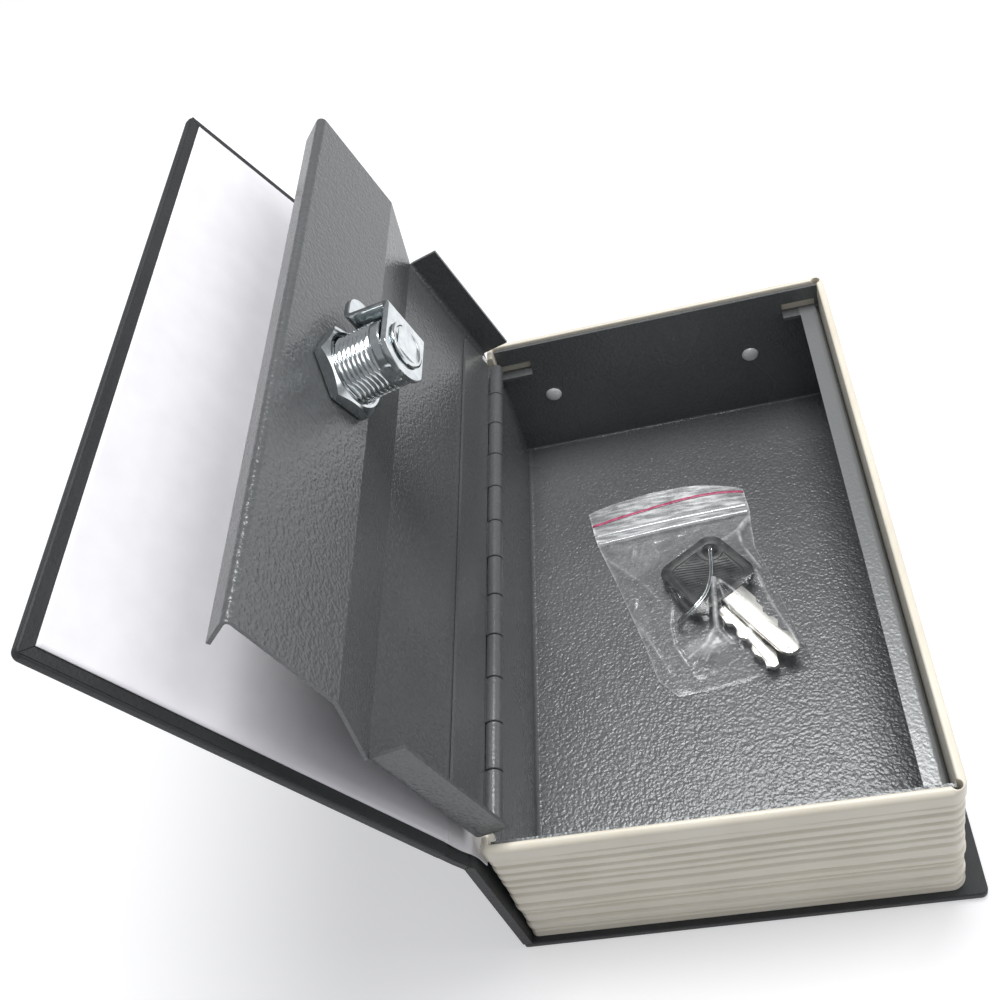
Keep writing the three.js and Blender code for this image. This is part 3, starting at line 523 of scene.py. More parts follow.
# Ribs: cells of uneven height along Z, which wander a little along the frame
tree, size = sized_tree("moulded_page_ribs", ("Rib Height", "Rib Depth", "Wander", "Base Height"))
place = node(tree, "SeparateXYZ", {0: node(tree, "GeometryNodeInputPosition")})
height = node(tree, "Math", {0: place.outputs["Z"], 1: size["Base Height"]}, operation="SUBTRACT")
along_run, mask, into = (
    node(tree, "GeometryNodeInputNamedAttribute", {"Name": name}, data_type=kind).outputs["Attribute"]
    for name, kind in (("run", "FLOAT"), ("ribbed", "FLOAT"), ("inward", "FLOAT_VECTOR"))
)
spread = node(tree, "CombineXYZ", {"X": along_run, "Y": height})
drift = node(tree, "TexNoise", {"Vector": spread, "Scale": 1 / (45 * mm), "Detail": 2.0},
             noise_dimensions="2D")
level = node(tree, "MapRange", {"Value": drift, "To Min": -1.0, "To Max": 1.0})
for operation, value in (("MULTIPLY", size["Wander"]), ("ADD", height), ("DIVIDE", size["Rib Height"])):
    level = node(tree, "Math", {0: level, 1: value}, operation=operation)
groove, cell = (
    node(tree, "TexVoronoi", {"W": level, "Scale": 1.0, "Randomness": 0.9}, feature=kind,
         voronoi_dimensions="1D")
    for kind in ("DISTANCE_TO_EDGE", "F1")
)
crown = node(tree, "MapRange", {"Value": groove, "From Max": 0.3, "To Min": 1.0, "To Max": 0.0},
             interpolation_type="SMOOTHERSTEP")
uneven = node(tree, "SeparateXYZ", {0: cell.outputs["Color"]})
cut = node(tree, "Math", {0: crown, 1: 0.6}, operation="MULTIPLY")
depth = node(tree, "Math", {0: uneven, 1: 0.4}, operation="MULTIPLY")
for operation, value in (("ADD", cut), ("MULTIPLY", size["Rib Depth"]), ("MULTIPLY", mask)):
    depth = node(tree, "Math", {0: depth, 1: value}, operation=operation)
move = node(tree, "VectorMath", {0: into, "Scale": depth}, operation="SCALE")
ribs = node(tree, "GeometryNodeSetPosition", {"Geometry": size["Geometry"], "Offset": move})
end_tree(tree, ribs, ivory_plastic)

page_block = grown("page_block_frame", mesh, tree, {
    "Rib Height": 3.9 * mm, "Rib Depth": 1.05 * mm, "Wander": 0.8 * mm, "Base Height": block_low.z,
}, ivory_plastic)
smooth(page_block.data, 50)
stands_for(page_block, "page_block")


# Steel tray
# A box folded from 1 mm steel sheet and powder coated in grey hammertone. Short tabs, cut from
# the end walls and bent inward, stop the door; a flange along the fore wall takes the cam.

# Hammertone powder coat: gloss grey over pearly flake, which flows into smooth pebbles about
# 1 mm wide with narrow furrows between them. Where it is sprayed on less, it is smoother; there
# a light grey is painted on as painted light, for a face that catches more light than the floor.
def hammertone_finish(name, dark, light, pebble, height, thin_coat_and_painted_light_from=None):
    """Grey hammertone with pebbles of a given width; past a corner (x, z) its relief is smoother and a light grey
    is painted on as painted light.
    """
    material, tree, spot = new_finish(name)
    bend = node(tree, "TexNoise", {"Vector": spot, "Scale": 0.6 / pebble, "Detail": 1.0})
    bent = node(tree, "VectorMath", {0: bend.outputs["Color"], "Scale": pebble * 1.1}, operation="SCALE")
    bent = node(tree, "VectorMath", {0: spot, 1: bent}, operation="ADD")
    cells = node(tree, "TexVoronoi", {"Vector": bent, "Scale": 1 / pebble, "Smoothness": 0.6},
                 feature="SMOOTH_F1")
    flow = node(tree, "TexNoise", {"Vector": bent, "Scale": 1.3 / pebble, "Detail": 2.0, "Roughness": 0.45})
    relief = node(tree, "Math", {0: flow, 1: cells}, operation="SUBTRACT")
    cloud = node(tree, "TexNoise", {"Vector": spot, "Scale": 1 / (30 * mm), "Detail": 2.0})
    flake = node(tree, "Math", {0: relief, 1: cloud}, operation="ADD")
    spread = node(tree, "MapRange", {"Value": flake, "From Min": -0.4, "From Max": 1.3})
    shade = node(tree, "ValToRGB", {"Fac": spread}, ((0.1, dark), (0.9, light)))
    strength = 1.0
    if thin_coat_and_painted_light_from:
        place = node(tree, "SeparateXYZ", {0: spot}).outputs
        x, z = thin_coat_and_painted_light_from
        past = [
            node(tree, "MapRange", {"Value": place[axis], "From Min": start, "From Max": end, "To Min": low,
                                    "To Max": 1.0 - low})
            for axis, start, end, low in (("X", x, x + 0.3 * mm, 0.0), ("Z", z, z + 0.3 * mm, 0.0),
                                          ("Z", z + 0.8 * mm, z + 1.0 * mm, 1.0))
        ]
        # Painted light: past the flange's corner the colour turns to a light grey, for the light the up-facing
        # flange catches.
        pale = node(tree, "Math", {0: past[0], 1: past[1]}, operation="MULTIPLY")
        pale = node(tree, "Math", {0: pale, 1: past[2]}, operation="MULTIPLY")
        strength = node(tree, "MapRange", {"Value": pale, "To Min": 1.0, "To Max": 0.45})
        mixed = node(tree, "Mix", {"Factor": pale, 6: shade, 7: linear("#87898a")}, data_type="RGBA")
        shade = mixed.outputs[2]
    end_finish(tree, {
        "Base Color": shade,
        "Normal": node(tree, "Bump", {"Height": relief, "Strength": strength, "Distance": height}),
        "Roughness": node(tree, "MapRange", {"Value": cloud, "To Min": 0.22, "To Max": 0.32}),
        "Metallic": 0.2,
    })
    return material


# The fore wall's flange, past this corner, gets painted light in the tray's finish.
flange_corner = (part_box("steel_tray")[1].x - 6.1 * mm, block_high.z - 9.6 * mm)
tray_hammertone = hammertone_finish("grey_hammertone_on_tray", "#606263", "#707273", 0.95 * mm, 0.105 * mm,
                                    flange_corner)
softened("steel_tray", "folded_steel_tray", tray_hammertone)


# Rivets
# Four aluminium blind rivets, two through each end wall, hold the tray in the plastic frame.
# Their domed heads sit on the inside of the tray, painted near white as painted highlight.
def even_finish(name, colours, metallic, width, detail, rough, strength, depth):
    """A finish that one fine noise makes uneven: in gloss, in relief and, of two colours, in tone."""
    material, tree, spot = new_finish(name)
    skin = node(tree, "TexNoise", {"Vector": spot, "Scale": 1 / width, "Detail": detail})
    colour = linear(colours[0])
    if len(colours) > 1:
        colour = node(tree, "ValToRGB", {"Fac": skin}, ((0.3, colours[0]), (0.7, colours[1])))
    end_finish(tree, {
        "Base Color": colour,
        "Metallic": metallic,
        "Normal": node(tree, "Bump", {"Height": skin, "Strength": strength, "Distance": depth}),
        "Roughness": node(tree, "MapRange", {"Value": skin, "To Min": rough[0], "To Max": rough[1]}),
    })
    return material


# Aluminium: painted near white as painted highlight for the glare on the heads; satin, with a faint scuff from the
# setting tool
aluminium_painted_bright = even_finish("aluminium_painted_near_white", ["#fbfbfb"], 0.2, 0.8 * mm, 3.0, (0.24, 0.4),
                                 0.2, 0.03 * mm)

rivet_nodes = [f"tray_rivet_{i}" for i in range(1, 5)]
head_height = 1.1 * mm
seats, facing = [], []
for cad_node in rivet_nodes:
    low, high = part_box(cad_node)
    middle = (low + high) / 2
    side = 1 if middle.y < 0 else -1
    seats.append((middle.x, (high.y if side > 0 else low.y) - side * head_height, middle.z))
    facing.append((0, side, 0))
mesh = mesh_of("rivet_seats", seats)
point_values(mesh, facing=facing)

tree, size = sized_tree("domed_rivets", ("Head Radius", "Head Height", "Shank Radius", "Shank Length"))
ball = node(tree, "GeometryNodeMeshUVSphere", {"Segments": 40, "Rings": 24, "Radius": 1.0})
wide, high = size["Head Radius"], size["Head Height"]
squash = node(tree, "CombineXYZ", {"X": wide, "Y": wide, "Z": high})
dome = node(tree, "GeometryNodeTransform", {"Geometry": ball, "Scale": squash})
at = node(tree, "SeparateXYZ", {0: node(tree, "GeometryNodeInputPosition")}).outputs
level = node(tree, "Math", {0: at["Z"], 1: 0.0}, operation="MAXIMUM")
flat = node(tree, "CombineXYZ", {"X": at["X"], "Y": at["Y"], "Z": level})
dome = node(tree, "GeometryNodeSetPosition", {"Geometry": dome, "Position": flat})
dome = node(tree, "GeometryNodeMergeByDistance", {"Geometry": dome, "Distance": 0.001 * mm})
shank = node(tree, "GeometryNodeMeshCylinder", {
    "Vertices": 32, "Radius": size["Shank Radius"], "Depth": size["Shank Length"]})
half = node(tree, "Math", {0: size["Shank Length"], 1: -0.5}, operation="MULTIPLY")
down = node(tree, "CombineXYZ", {"Z": half})
shank = node(tree, "GeometryNodeTransform", {"Geometry": shank, "Translation": down})
rivet = node(tree, "GeometryNodeJoinGeometry", {0: [dome, shank]})
direction = node(tree, "GeometryNodeInputNamedAttribute", {"Name": "facing"}, data_type="FLOAT_VECTOR")
turned = node(tree, "FunctionNodeAlignRotationToVector", {"Vector": direction.outputs["Attribute"]}, axis="Z")
seated = node(tree, "GeometryNodeMeshToPoints", {"Mesh": size["Geometry"]})
four = node(tree, "GeometryNodeInstanceOnPoints", {"Points": seated, "Instance": rivet, "Rotation": turned})
end_tree(tree, four, aluminium_painted_bright)
rivets = grown("tray_rivets", mesh, tree, {
    "Head Radius": 2.6 * mm, "Head Height": head_height, "Shank Radius": 1.5 * mm, "Shank Length": 1.6 * mm,
}, aluminium_painted_bright)
smooth(rivets.data, 40)
stands_for(rivets, *rivet_nodes)


# Piano hinge
# Two leaves of thin steel, each rolled into six knuckles along one edge, on a steel pin. It is
# welded to the tray's spine wall and the door, and painted with them, so the paint lies thin.
thin_hammertone = hammertone_finish("grey_hammertone_on_hinge", "#585a5b", "#656768", 0.9 * mm, 0.035 * mm)

pin_middle = joint_of("door_hinge")[0]
hinge_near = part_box("hinge_leaf_door")[0].y
hinge_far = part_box("hinge_leaf_box")[1].y
knuckle_count = 12
knuckle_gap = 0.3 * mm
knuckle_pitch = (hinge_far - hinge_near + knuckle_gap) / knuckle_count
knuckle_length = knuckle_pitch - knuckle_gap
leaf_sheet = 0.8 * mm
neck_start = 1.4 * mm
plate_start = 2.5 * mm
neck_overlap = 0.4 * mm

tree, size = sized_tree("rolled_knuckles",
                        ("Knuckle Count", "Pitch", "Length", "Radius", "Edge Break", "Bore"))
straight = node(tree, "Math", {0: size["Edge Break"], 1: -2.0, 2: size["Length"]}, operation="MULTIPLY_ADD")
small = node(tree, "Math", {0: size["Radius"], 1: size["Edge Break"]}, operation="SUBTRACT")
half = node(tree, "Math", {0: straight, 1: 0.5}, operation="MULTIPLY")
lip = node(tree, "CombineXYZ", {"Z": size["Edge Break"]})
parts = [node(tree, "GeometryNodeMeshCylinder", {"Vertices": 48, "Radius": size["Radius"], "Depth": straight},
              fill_type="NONE")]
for sign, turn in ((1.0, 0), (-1.0, math.pi)):
    cone = node(tree, "GeometryNodeMeshCone", {
        "Vertices": 48, "Radius Bottom": size["Radius"], "Radius Top": small, "Depth": size["Edge Break"],
    }, fill_type="NONE")
    face = node(tree, "GeometryNodeMeshCone", {
        "Vertices": 48, "Radius Bottom": small, "Radius Top": size["Bore"], "Depth": 0.0,
    }, fill_type="NONE")
    face = node(tree, "GeometryNodeTransform", {"Geometry": face, "Translation": lip})
    end = node(tree, "GeometryNodeJoinGeometry", {0: [cone, face]})
    out_by = node(tree, "Math", {0: half, 1: sign}, operation="MULTIPLY")
    shift = node(tree, "CombineXYZ", {"Z": out_by})
    parts.append(node(tree, "GeometryNodeTransform", {"Geometry": end, "Rotation": (turn, 0, 0),
                                                      "Translation": shift}))
knuckle = node(tree, "GeometryNodeJoinGeometry", {0: parts})
knuckle = node(tree, "GeometryNodeMergeByDistance", {"Geometry": knuckle, "Distance": 0.002 * mm})
lying = node(tree, "GeometryNodeTransform", {"Geometry": knuckle, "Rotation": (-quarter, 0, 0)})
stride = node(tree, "CombineXYZ", {"Y": size["Pitch"]})
line = node(tree, "GeometryNodeMeshLine", {"Count": size["Knuckle Count"], "Offset": stride}, mode="OFFSET")
row = node(tree, "GeometryNodeInstanceOnPoints", {"Points": line, "Instance": lying})
end_tree(tree, row, thin_hammertone)


def rolled_leaf(name, cad_node, first, out, up, width, plate_height):
    """A leaf: its plate and the necks that rise to its knuckles, with the knuckles rolled on."""
    row = grown(name, mesh_of(name + "_none"), tree, {
        "Knuckle Count": knuckle_count // 2, "Pitch": 2 * knuckle_pitch, "Length": knuckle_length,
        "Radius": 2.2 * mm, "Edge Break": 0.18 * mm, "Bore": 1.3 * mm,
    }, thin_hammertone)
    first_middle = hinge_near + knuckle_pitch * first + knuckle_length / 2
    row.data.transform(Matrix.Translation((pin_middle.x, first_middle, pin_middle.z)))
    shape = bmesh.new()
    shape.from_mesh(row.data)
    spans = [(plate_start, width, hinge_near, hinge_far)]
    for i in range(knuckle_count // 2):
        near = first_middle + 2 * knuckle_pitch * i - knuckle_length / 2
        spans.append((neck_start, plate_start + neck_overlap, near, near + knuckle_length))
    for a, b, near, far in spans:
        middle = Vector((pin_middle.x, (near + far) / 2, pin_middle.z))
        middle += out * ((a + b) / 2) + up * plate_height
        bmesh.ops.transform(shape, verts=bmesh.ops.create_cube(shape, size=1)["verts"],
                            matrix=own_frame(middle, out * (b - a), upright * (far - near), up * leaf_sheet))
    bmesh.ops.recalc_face_normals(shape, faces=shape.faces)
    mesh_from(shape, row.data, 32)
    return stands_for(row, cad_node)


rolled_leaf("tray_hinge_leaf", "hinge_leaf_box", 1, Vector((0, 0, -1)), Vector((-1, 0, 0)),
            15.5 * mm, 1.8 * mm)
rolled_leaf("door_hinge_leaf", "hinge_leaf_door", 0, *swung(106), 15.8 * mm, 1.55 * mm)
softened("hinge_pin", "hinge_pin_wire", thin_hammertone)


# Door
# One steel sheet, folded: a raised panel with flanges at both ends, a slope, and the lock's
# panel, which ends in a lip. It has the tray's hammertone coat.
door_hammertone = hammertone_finish("grey_hammertone_on_door", "#595b5c", "#686a6b", 0.95 * mm, 0.105 * mm)
softened("door_panel", "folded_steel_door", door_hammertone)


# Cam lock
# A zinc-plated cam lock: a threaded barrel with two flats and a head outside the door, held by
# a hexagon nut, and a plug whose end is riveted over the bent cam. Its sizes are in millimetres.

# Zinc plate: bright, bluish, with a slightly streaky passivated skin
zinc_plate = even_finish("bright_zinc_plate", ["#c3c9cc", "#dfe3e3"], 1.0, 2.2 * mm, 4.0, (0.08, 0.22),
                         0.15, 0.05 * mm)

lock_middle, lock_axis = joint_of("lock_turn")
lock_place = own_frame(lock_middle, upright.cross(lock_axis), upright, lock_axis)


def lock_body(name, rings, cad_node, fold, looped=True):
    """A zinc-plated body over rings of points, given in millimetres in the lock's own frame."""
    shape = skinned([[Vector(p) * mm for p in ring] for ring in rings], looped,
                    0.002 * mm if looped else None)
    shape.transform(lock_place)
    return stands_for(placed(name, mesh_from(shape, mesh_of(name), fold), zinc_plate), cad_node)


def round_axis(turns, radii, heights):
    """A ring of points round the lock's axis, at one or at many radii and heights."""
    return np.stack(np.broadcast_arrays(radii * np.cos(turns), radii * np.sin(turns), heights), -1)


def full_turn(steps):
    return np.linspace(0, 2 * math.pi, steps + 1)[:-1]


# Barrel: the thread is cut as a real helix, and both sides are milled flat. The notch in its end
# stops the cam after a quarter of a turn.
barrel_radius = 8.15
barrel_bore = 6.05
barrel_end = 15.7
thread_depth = 0.55
thread_pitch = 1.25
thread_start, thread_end = -0.9, 13.4
thread_fade = 0.8
flat_half = 7.7
head_face = -1.15
notch_floor = thread_end + 0.35
notch_from, notch_to = math.radians(75), math.radians(165)


def barrel_ring(radius, z, milled=True, threaded=False):
    """A ring of the barrel at a height. Past the thread it drops to the notch's floor where that is."""
    turns = full_turn(128)
    radii = np.full(turns.shape, radius)
    if threaded:
        cut = np.abs((z / thread_pitch - turns / (2 * math.pi)) % 1 * 2 - 1)
        radii -= thread_depth * min(1, (thread_end - z) / thread_fade) * np.clip(cut * 1.25 - 0.12, 0, 1)
    notched = (turns > notch_from) & (turns < notch_to) & (z > notch_floor)
    ring = round_axis(turns, radii, np.where(notched, notch_floor, z))
    if milled:
        ring[:, 1] = ring[:, 1].clip(-flat_half, flat_half)
    return ring


head_rings = [(barrel_bore, 2.2), (8.9, 2.2), (9.35, 2.05), (9.6, 1.7), (9.6, 0.1), (9.5, 0)]
end_rings = [(barrel_radius, thread_end), (barrel_radius, notch_floor), (barrel_radius, notch_floor + 0.01),
             (barrel_radius, barrel_end - 0.3), (barrel_radius - 0.25, barrel_end), (6.25, barrel_end),
             (barrel_bore, barrel_end - 0.2), (barrel_bore, notch_floor)]
rings = [barrel_ring(radius, head_face - out, milled=False) for radius, out in head_rings]
rings.append(barrel_ring(barrel_radius, head_face))
rings += [barrel_ring(barrel_radius, z, threaded=True)
          for z in np.arange(thread_start, thread_end, thread_pitch / 9)]
rings += [barrel_ring(radius, z) for radius, z in end_rings]
lock_body("lock_barrel_threaded", rings, "lock_barrel", 35)

# Nut: hexagon across 20 mm, its corners turned back at 30 degrees on the outer side
nut_half = 20 / 2
nut_turn = math.radians(42)
nut_low, nut_high = 0.25, 3.65
nut_bore = 8.3
turned_from = 9.5
sixth = math.pi / 3
turns = np.concatenate([nut_turn + sixth * (k + np.linspace(0, 1, 17)[:-1]) for k in range(6)])
sides = nut_half / np.cos((turns - nut_turn + sixth / 2) % sixth - sixth / 2)
turned_back = nut_high - (sides - turned_from) * math.tan(math.radians(30))
lock_body("hexagon_nut", [round_axis(turns, radii, heights) for radii, heights in (
    (nut_bore, nut_low), (nut_bore, nut_high - 0.4), (nut_bore + 0.5, nut_high), (turned_from, nut_high),
    (sides, turned_back), (sides, nut_low + 0.25), (sides - 0.2, nut_low),
)], "lock_nut", 20)

# Cam: one strip of 1.5 mm steel, with a round hub, bent back beside the barrel to its tongue.
# Its route is the middle of the sheet, as (out from the axis, along the axis).
half_sheet = 1.5 / 2
hub_level = 17.5 - half_sheet
tongue_level = 3.9 + half_sheet
hub_radius = 8.7
hub_half = 7.3
tongue_half = 7.0
tip_round = 5.0
taper = 3
broken_edge = 0.28
bend_radius = 1 + half_sheet
bends = [Vector(p) for p in ((-hub_radius, hub_level), (8.6 + half_sheet, hub_level),
                             (10.9 + half_sheet, tongue_level), (20.6, tongue_level))]
route = [bends[0]]
for before, here, after in zip(bends, bends[1:], bends[2:]):
    back, ahead = (before - here).normalized(), (after - here).normalized()
    half = back.angle(ahead) / 2
    middle = here + (back + ahead).normalized() * bend_radius / math.sin(half)
    run_off = bend_radius / math.tan(half)
    first, last = here + back * run_off - middle, here + ahead * run_off - middle
    sweep = math.atan2(first.x * last.y - first.y * last.x, first.dot(last))
    route += [middle + Matrix.Rotation(sweep * share, 2) @ first for share in np.linspace(0, 1, 11)]
route.append(bends[-1])
lengths = lengths_along(route)
total = lengths[-1]
hub_stops = hub_radius * (1 - np.cos(np.linspace(0.02, math.pi * 0.72, 40)))
tip_stops = total - tip_round * (1 - np.sin(np.linspace(0, quarter, 16)))
stops = np.unique(np.round(np.concatenate([hub_stops, lengths[1:-1], tip_stops]), 4))
xs = np.interp(stops, lengths, [p.x for p in route])
zs = np.interp(stops, lengths, [p.y for p in route])


def half_round(radius, along):
    """Half the width of a round end at a distance from its tip."""
    return math.sqrt(max(radius ** 2 - (radius - along) ** 2, 0))


rings = []
for i, stop in enumerate(stops):
    a, b = max(i - 1, 0), min(i + 1, len(stops) - 1)
    ahead = Vector((xs[b] - xs[a], zs[b] - zs[a])).normalized()
    if stop < hub_radius:
        width = min(hub_half, half_round(hub_radius, stop))
    elif total - stop < tip_round:
        width = tongue_half - tip_round + half_round(tip_round, total - stop)
    else:
        width = hub_half + (tongue_half - hub_half) * min(1, max(0, (stop - lengths[1]) / taper))
    edge = min(broken_edge, width * 0.4)
    ring = []
    for corner, (right, up) in enumerate(((1, 1), (-1, 1), (-1, -1), (1, -1))):
        for a in quarter * (corner + np.linspace(0, 1, 5)):
            off = up * (half_sheet - edge) + edge * math.sin(a)
            aside = right * (width - edge) + edge * math.cos(a)
            ring.append((aside, xs[i] - ahead.y * off, zs[i] + ahead.x * off))
    rings.append(ring)
lock_body("bent_cam", rings, "lock_cam", 38, looped=False)

# Riveted end of the plug: a disc with a raised rim, on a narrower neck, as (radius, height)
disc = [(0.05, 17.7), (4.9, 17.7), (5.0, 17.62), (5.1, 17.7), (5.55, 17.72), (5.8, 17.9), (5.8, 18.15),
        (5.6, 18.35), (5.0, 18.4), (4.75, 18.3), (4.55, 18.15), (0.05, 18.12)]
lock_body("riveted_plug_end", [round_axis(full_turn(96), *point) for point in disc], "cam_ring", 50)
softened("lock_plug", "lock_plug_drum", zinc_plate)

# Wafers: four thin nickel-silver plates that the key lifts, seen only down the keyway.
# Nickel silver: warm, bright, a little rubbed.
nickel_silver = even_finish("nickel_silver", ["#eceae4"], 1.0, 0.9 * mm, 4.0, (0.26, 0.46), 0.15, 0.04 * mm)
for index in range(1, 5):
    softened(f"plug_wafer_{index}", f"lock_wafer_{index}", nickel_silver)


# Keys
# Two keys for the lock: a nickel-silver blade with cuts for the wafers, moulded into a square
# black plastic head. The head has a raised border and a ribbed middle, and a hole in one corner.

# Moulded plastic: black, satin, with a faint orange-peel skin
key_plastic = even_finish("black_moulded_plastic", ["#151617"], 0.0, 0.35 * mm, 2.0, (0.3, 0.5),
                          0.25, 0.04 * mm)

head_side = 21.5
head_thick = 2.2
hole_inset = 5.0
hole_radius = 2.4
boss_radius = 4.0
border = 2.7
recess = 0.45
broken_key_edge = 0.1
head_low, head_high = -hole_inset, head_side - hole_inset
blade_middle = hole_inset - head_side / 2
key_hole = Vector((4.65, 20.8))
key_places = [
    Matrix.Translation((key_hole.x * mm, key_hole.y * mm, level * mm))
    @ Matrix.Rotation(math.radians(turn), 4, "Z") @ Matrix.Scale(mm, 4)
    for level, turn in ((8.1, -56), (5.6, -65))
]


def prism(name, outline, low, high):
    """A straight prism on an outline of (x, y) points, in the key's own millimetres."""
    shape = skinned([[(x, y, z) for x, y in outline] for z in (low, high)])
    return placed(name, mesh_from(shape, mesh_of(name)))


def rounded_square(low, high, radius, steps=7):
    """Corner points of a square from (low, -high) to (high, -low) with rounded corners."""
    low, high = low + radius, high - radius
    return [(x + radius * math.cos(a), y + radius * math.sin(a))
            for corner, (x, y) in enumerate(((high, -low), (low, -low), (low, -high), (high, -high)))
            for a in quarter * (corner + np.linspace(0, 1, steps))]


def circle(radius):
    return [(radius * math.cos(a), radius * math.sin(a)) for a in full_turn(40)]


def carved(piece, tools, edge=None):
    """A piece's mesh with the tools' shapes cut out of it, and its sharp edges broken."""
    for tool in tools:
        cut = piece.modifiers.new("cut", "BOOLEAN")
        cut.operation = "DIFFERENCE"
        cut.solver = "EXACT"
        cut.object = tool
    if edge:
        bevel = piece.modifiers.new("edge", "BEVEL")
        bevel.width = edge
        bevel.segments = 2
        bevel.limit_method = "ANGLE"
        bevel.angle_limit = math.radians(50)
    mesh = result_of(piece, piece.name)
    for tool in tools:
        bpy.data.objects.remove(tool)
    return mesh


def rib_lines():
    """Wavy lines 0.95 mm apart across the recessed middle of a head, and the way across them."""
    slant = math.radians(56)
    along, aside = Vector((math.cos(slant), math.sin(slant))), Vector((-math.sin(slant), math.cos(slant)))
    low, high = head_low + border + 0.5, head_high - border - 0.5
    middle = Vector((low + high, -low - high)) / 2
    spans = [[]]
    for step in np.arange(-9.5, 9.6, 0.95):
        for run in np.arange(-12, 12, 0.25):
            p = middle + aside * step + along * run
            if low < p.x < high and -high < p.y < -low and p.length > boss_radius + 0.5:
                spans[-1].append(p + aside * 0.22 * math.sin(p.x * 0.7 + step))
            elif spans[-1]:
                spans.append([])
    return [span for span in spans if len(span) > 5], aside


def key_head(name):
    """A head: its recesses leave a border and a boss round the hole, and hold low ribs."""
    tools = [prism("hole", circle(hole_radius), -1, head_thick + 1)]
    for low, high in ((head_thick - recess, head_thick + 1), (-1, recess)):
        panel = prism("panel", rounded_square(head_low + border, head_high - border, 2.4), low, high)
        boss = prism("boss", circle(boss_radius), -2, head_thick + 2)
        tools.append(placed("panel", carved(panel, [boss])))
    head = prism(name, rounded_square(head_low, head_high, 4.5, 10), 0, head_thick)
    mesh = carved(head, tools, broken_key_edge)
    shape = bmesh.new()
    shape.from_mesh(mesh)
    lines, aside = rib_lines()
    for line in lines:
        for side, base in ((1, head_thick - recess), (-1, recess)):
            skinned([[(*(p + aside * off), base + side * high)
                      for off, high in ((0.26, -0.05), (0, 0.2), (-0.26, -0.05))] for p in line], shape=shape)
    return mesh_from(shape, mesh)


def key_blade(name, both_edges):
    """A blade with cuts, given as (share of its length, depth), and a groove along each side."""
    root, length, half, thick = head_high - 0.6, 27.9, 3.7, 1.7
    upper = [(0.24, 0.0), (0.28, 0.9), (0.38, 0.9), (0.42, 1.9), (0.50, 1.9), (0.54, 1.0), (0.61, 1.0),
             (0.66, 2.4), (0.73, 2.4), (0.78, 1.4), (0.86, 1.4), (0.93, 2.2), (1.0, 3.0)]
    lower = [(0.9, 0.0), (0.97, 0.9), (1.0, 2.7)]
    if both_edges:
        lower = [(0.28, 0.0), (0.32, 1.3), (0.40, 1.3), (0.45, 0.3), (0.50, 0.3), (0.56, 2.0), (0.64, 2.0),
                 (0.70, 0.8), (0.76, 0.8), (0.82, 1.9), (0.88, 1.9), (0.93, 1.3), (1.0, 2.7)]
    outline = [(0, -half)] + [(length * s, d - half) for s, d in lower]
    outline += [(length * s, half - d) for s, d in reversed(upper)] + [(0, half)]
    low = (head_thick - thick) / 2
    blade = prism(name, [(root + x, blade_middle + y) for x, y in outline], low, low + thick)
    x0, x1 = root + 1.5, root + length + 1
    tools = [
        prism("groove", [(x, blade_middle + y) for x, y in ((x0, y0), (x1, y0), (x1, y1), (x0, y1))], z0, z1)
        for y0, y1, z0, z1 in ((-2.2, -1.5, low + thick - 0.35, low + 3), (0.4, 1.5, low - 1, low + 0.5))
    ]
    return carved(blade, tools, broken_key_edge)


for index, place in enumerate(key_places, 1):
    grip, shank = f"key_{index}_grip", f"key_{index}_shank"
    for name, cad_node, mesh, finish in (
        (grip, f"key_{index}_head", key_head(grip), key_plastic),
        (shank, f"key_{index}_blade", key_blade(shank, index == 2), nickel_silver),
    ):
        mesh.transform(place)
        stands_for(placed(name, smooth(mesh, 30), finish), cad_node)


# Key ring
# A split ring of flattened wire: two turns side by side, through both heads' holes and round
# the edge of the lower head. Each turn runs on over its own start for one stretch.
ring_points = [Vector(p) for p in (
    (4.9, 21.4, 10.9), (4.7, 19.2, 11.0), (4.4, 14.0, 10.8), (3.6, 9.5, 10.75), (1.7, 4.8, 10.75),
    (-1.2, 1.2, 10.6), (-4.4, -0.9, 9.4), (-6.9, -1.3, 7.2), (-7.4, -0.2, 5.4), (-5.6, 3.2, 4.75),
    (-2.2, 8.4, 4.7), (1.4, 14.6, 4.7), (4.2, 19.6, 4.9), (5.3, 21.7, 6.6), (5.4, 22.2, 8.8),
)]
wire_half = 0.33
wire_flattened = 0.3
wire_apart = 0.36
wire_line = []
for i in range(len(ring_points) + 1):
    a, b, c, d = (ring_points[(i + k) % len(ring_points)] for k in (-1, 0, 1, 2))
    for t in np.linspace(0, 1, 9)[:-1]:
        bend = (2 * a - 5 * b + 4 * c - d) * t * t + (3 * b - a - 3 * c + d) * t * t * t
        wire_line.append(0.5 * (2 * b + (c - a) * t + bend))
shape = bmesh.new()
for offset in (-wire_apart, wire_apart):
    rings = []
    for i, p in enumerate(wire_line):
        ahead = (wire_line[(i + 1) % len(wire_line)] - wire_line[i - 1]).normalized()
        side = Vector((ahead.y, -ahead.x, 0.12)).normalized()
        up = side.cross(ahead).normalized()
        rings.append([(p + side * (offset + wire_half * math.cos(a)) + up * wire_flattened * math.sin(a)) * mm
                      for a in full_turn(12)])
    skinned(rings, looped=True, shape=shape)
stands_for(placed("split_ring", mesh_from(shape, mesh_of("split_ring")), zinc_plate), "key_ring")


# Bag
# A small resealable bag of clear polythene film. Its top film lies taut over the keys, in sharp
# folds from the heads down to the bottom seam, and is crumpled beside them; its mouth is open.
# Its shape is worked out in millimetres, on a grid of points that runs down from the mouth.
def held(values):
    """Values held between 0 and 1."""
    return np.clip(values, 0, 1)


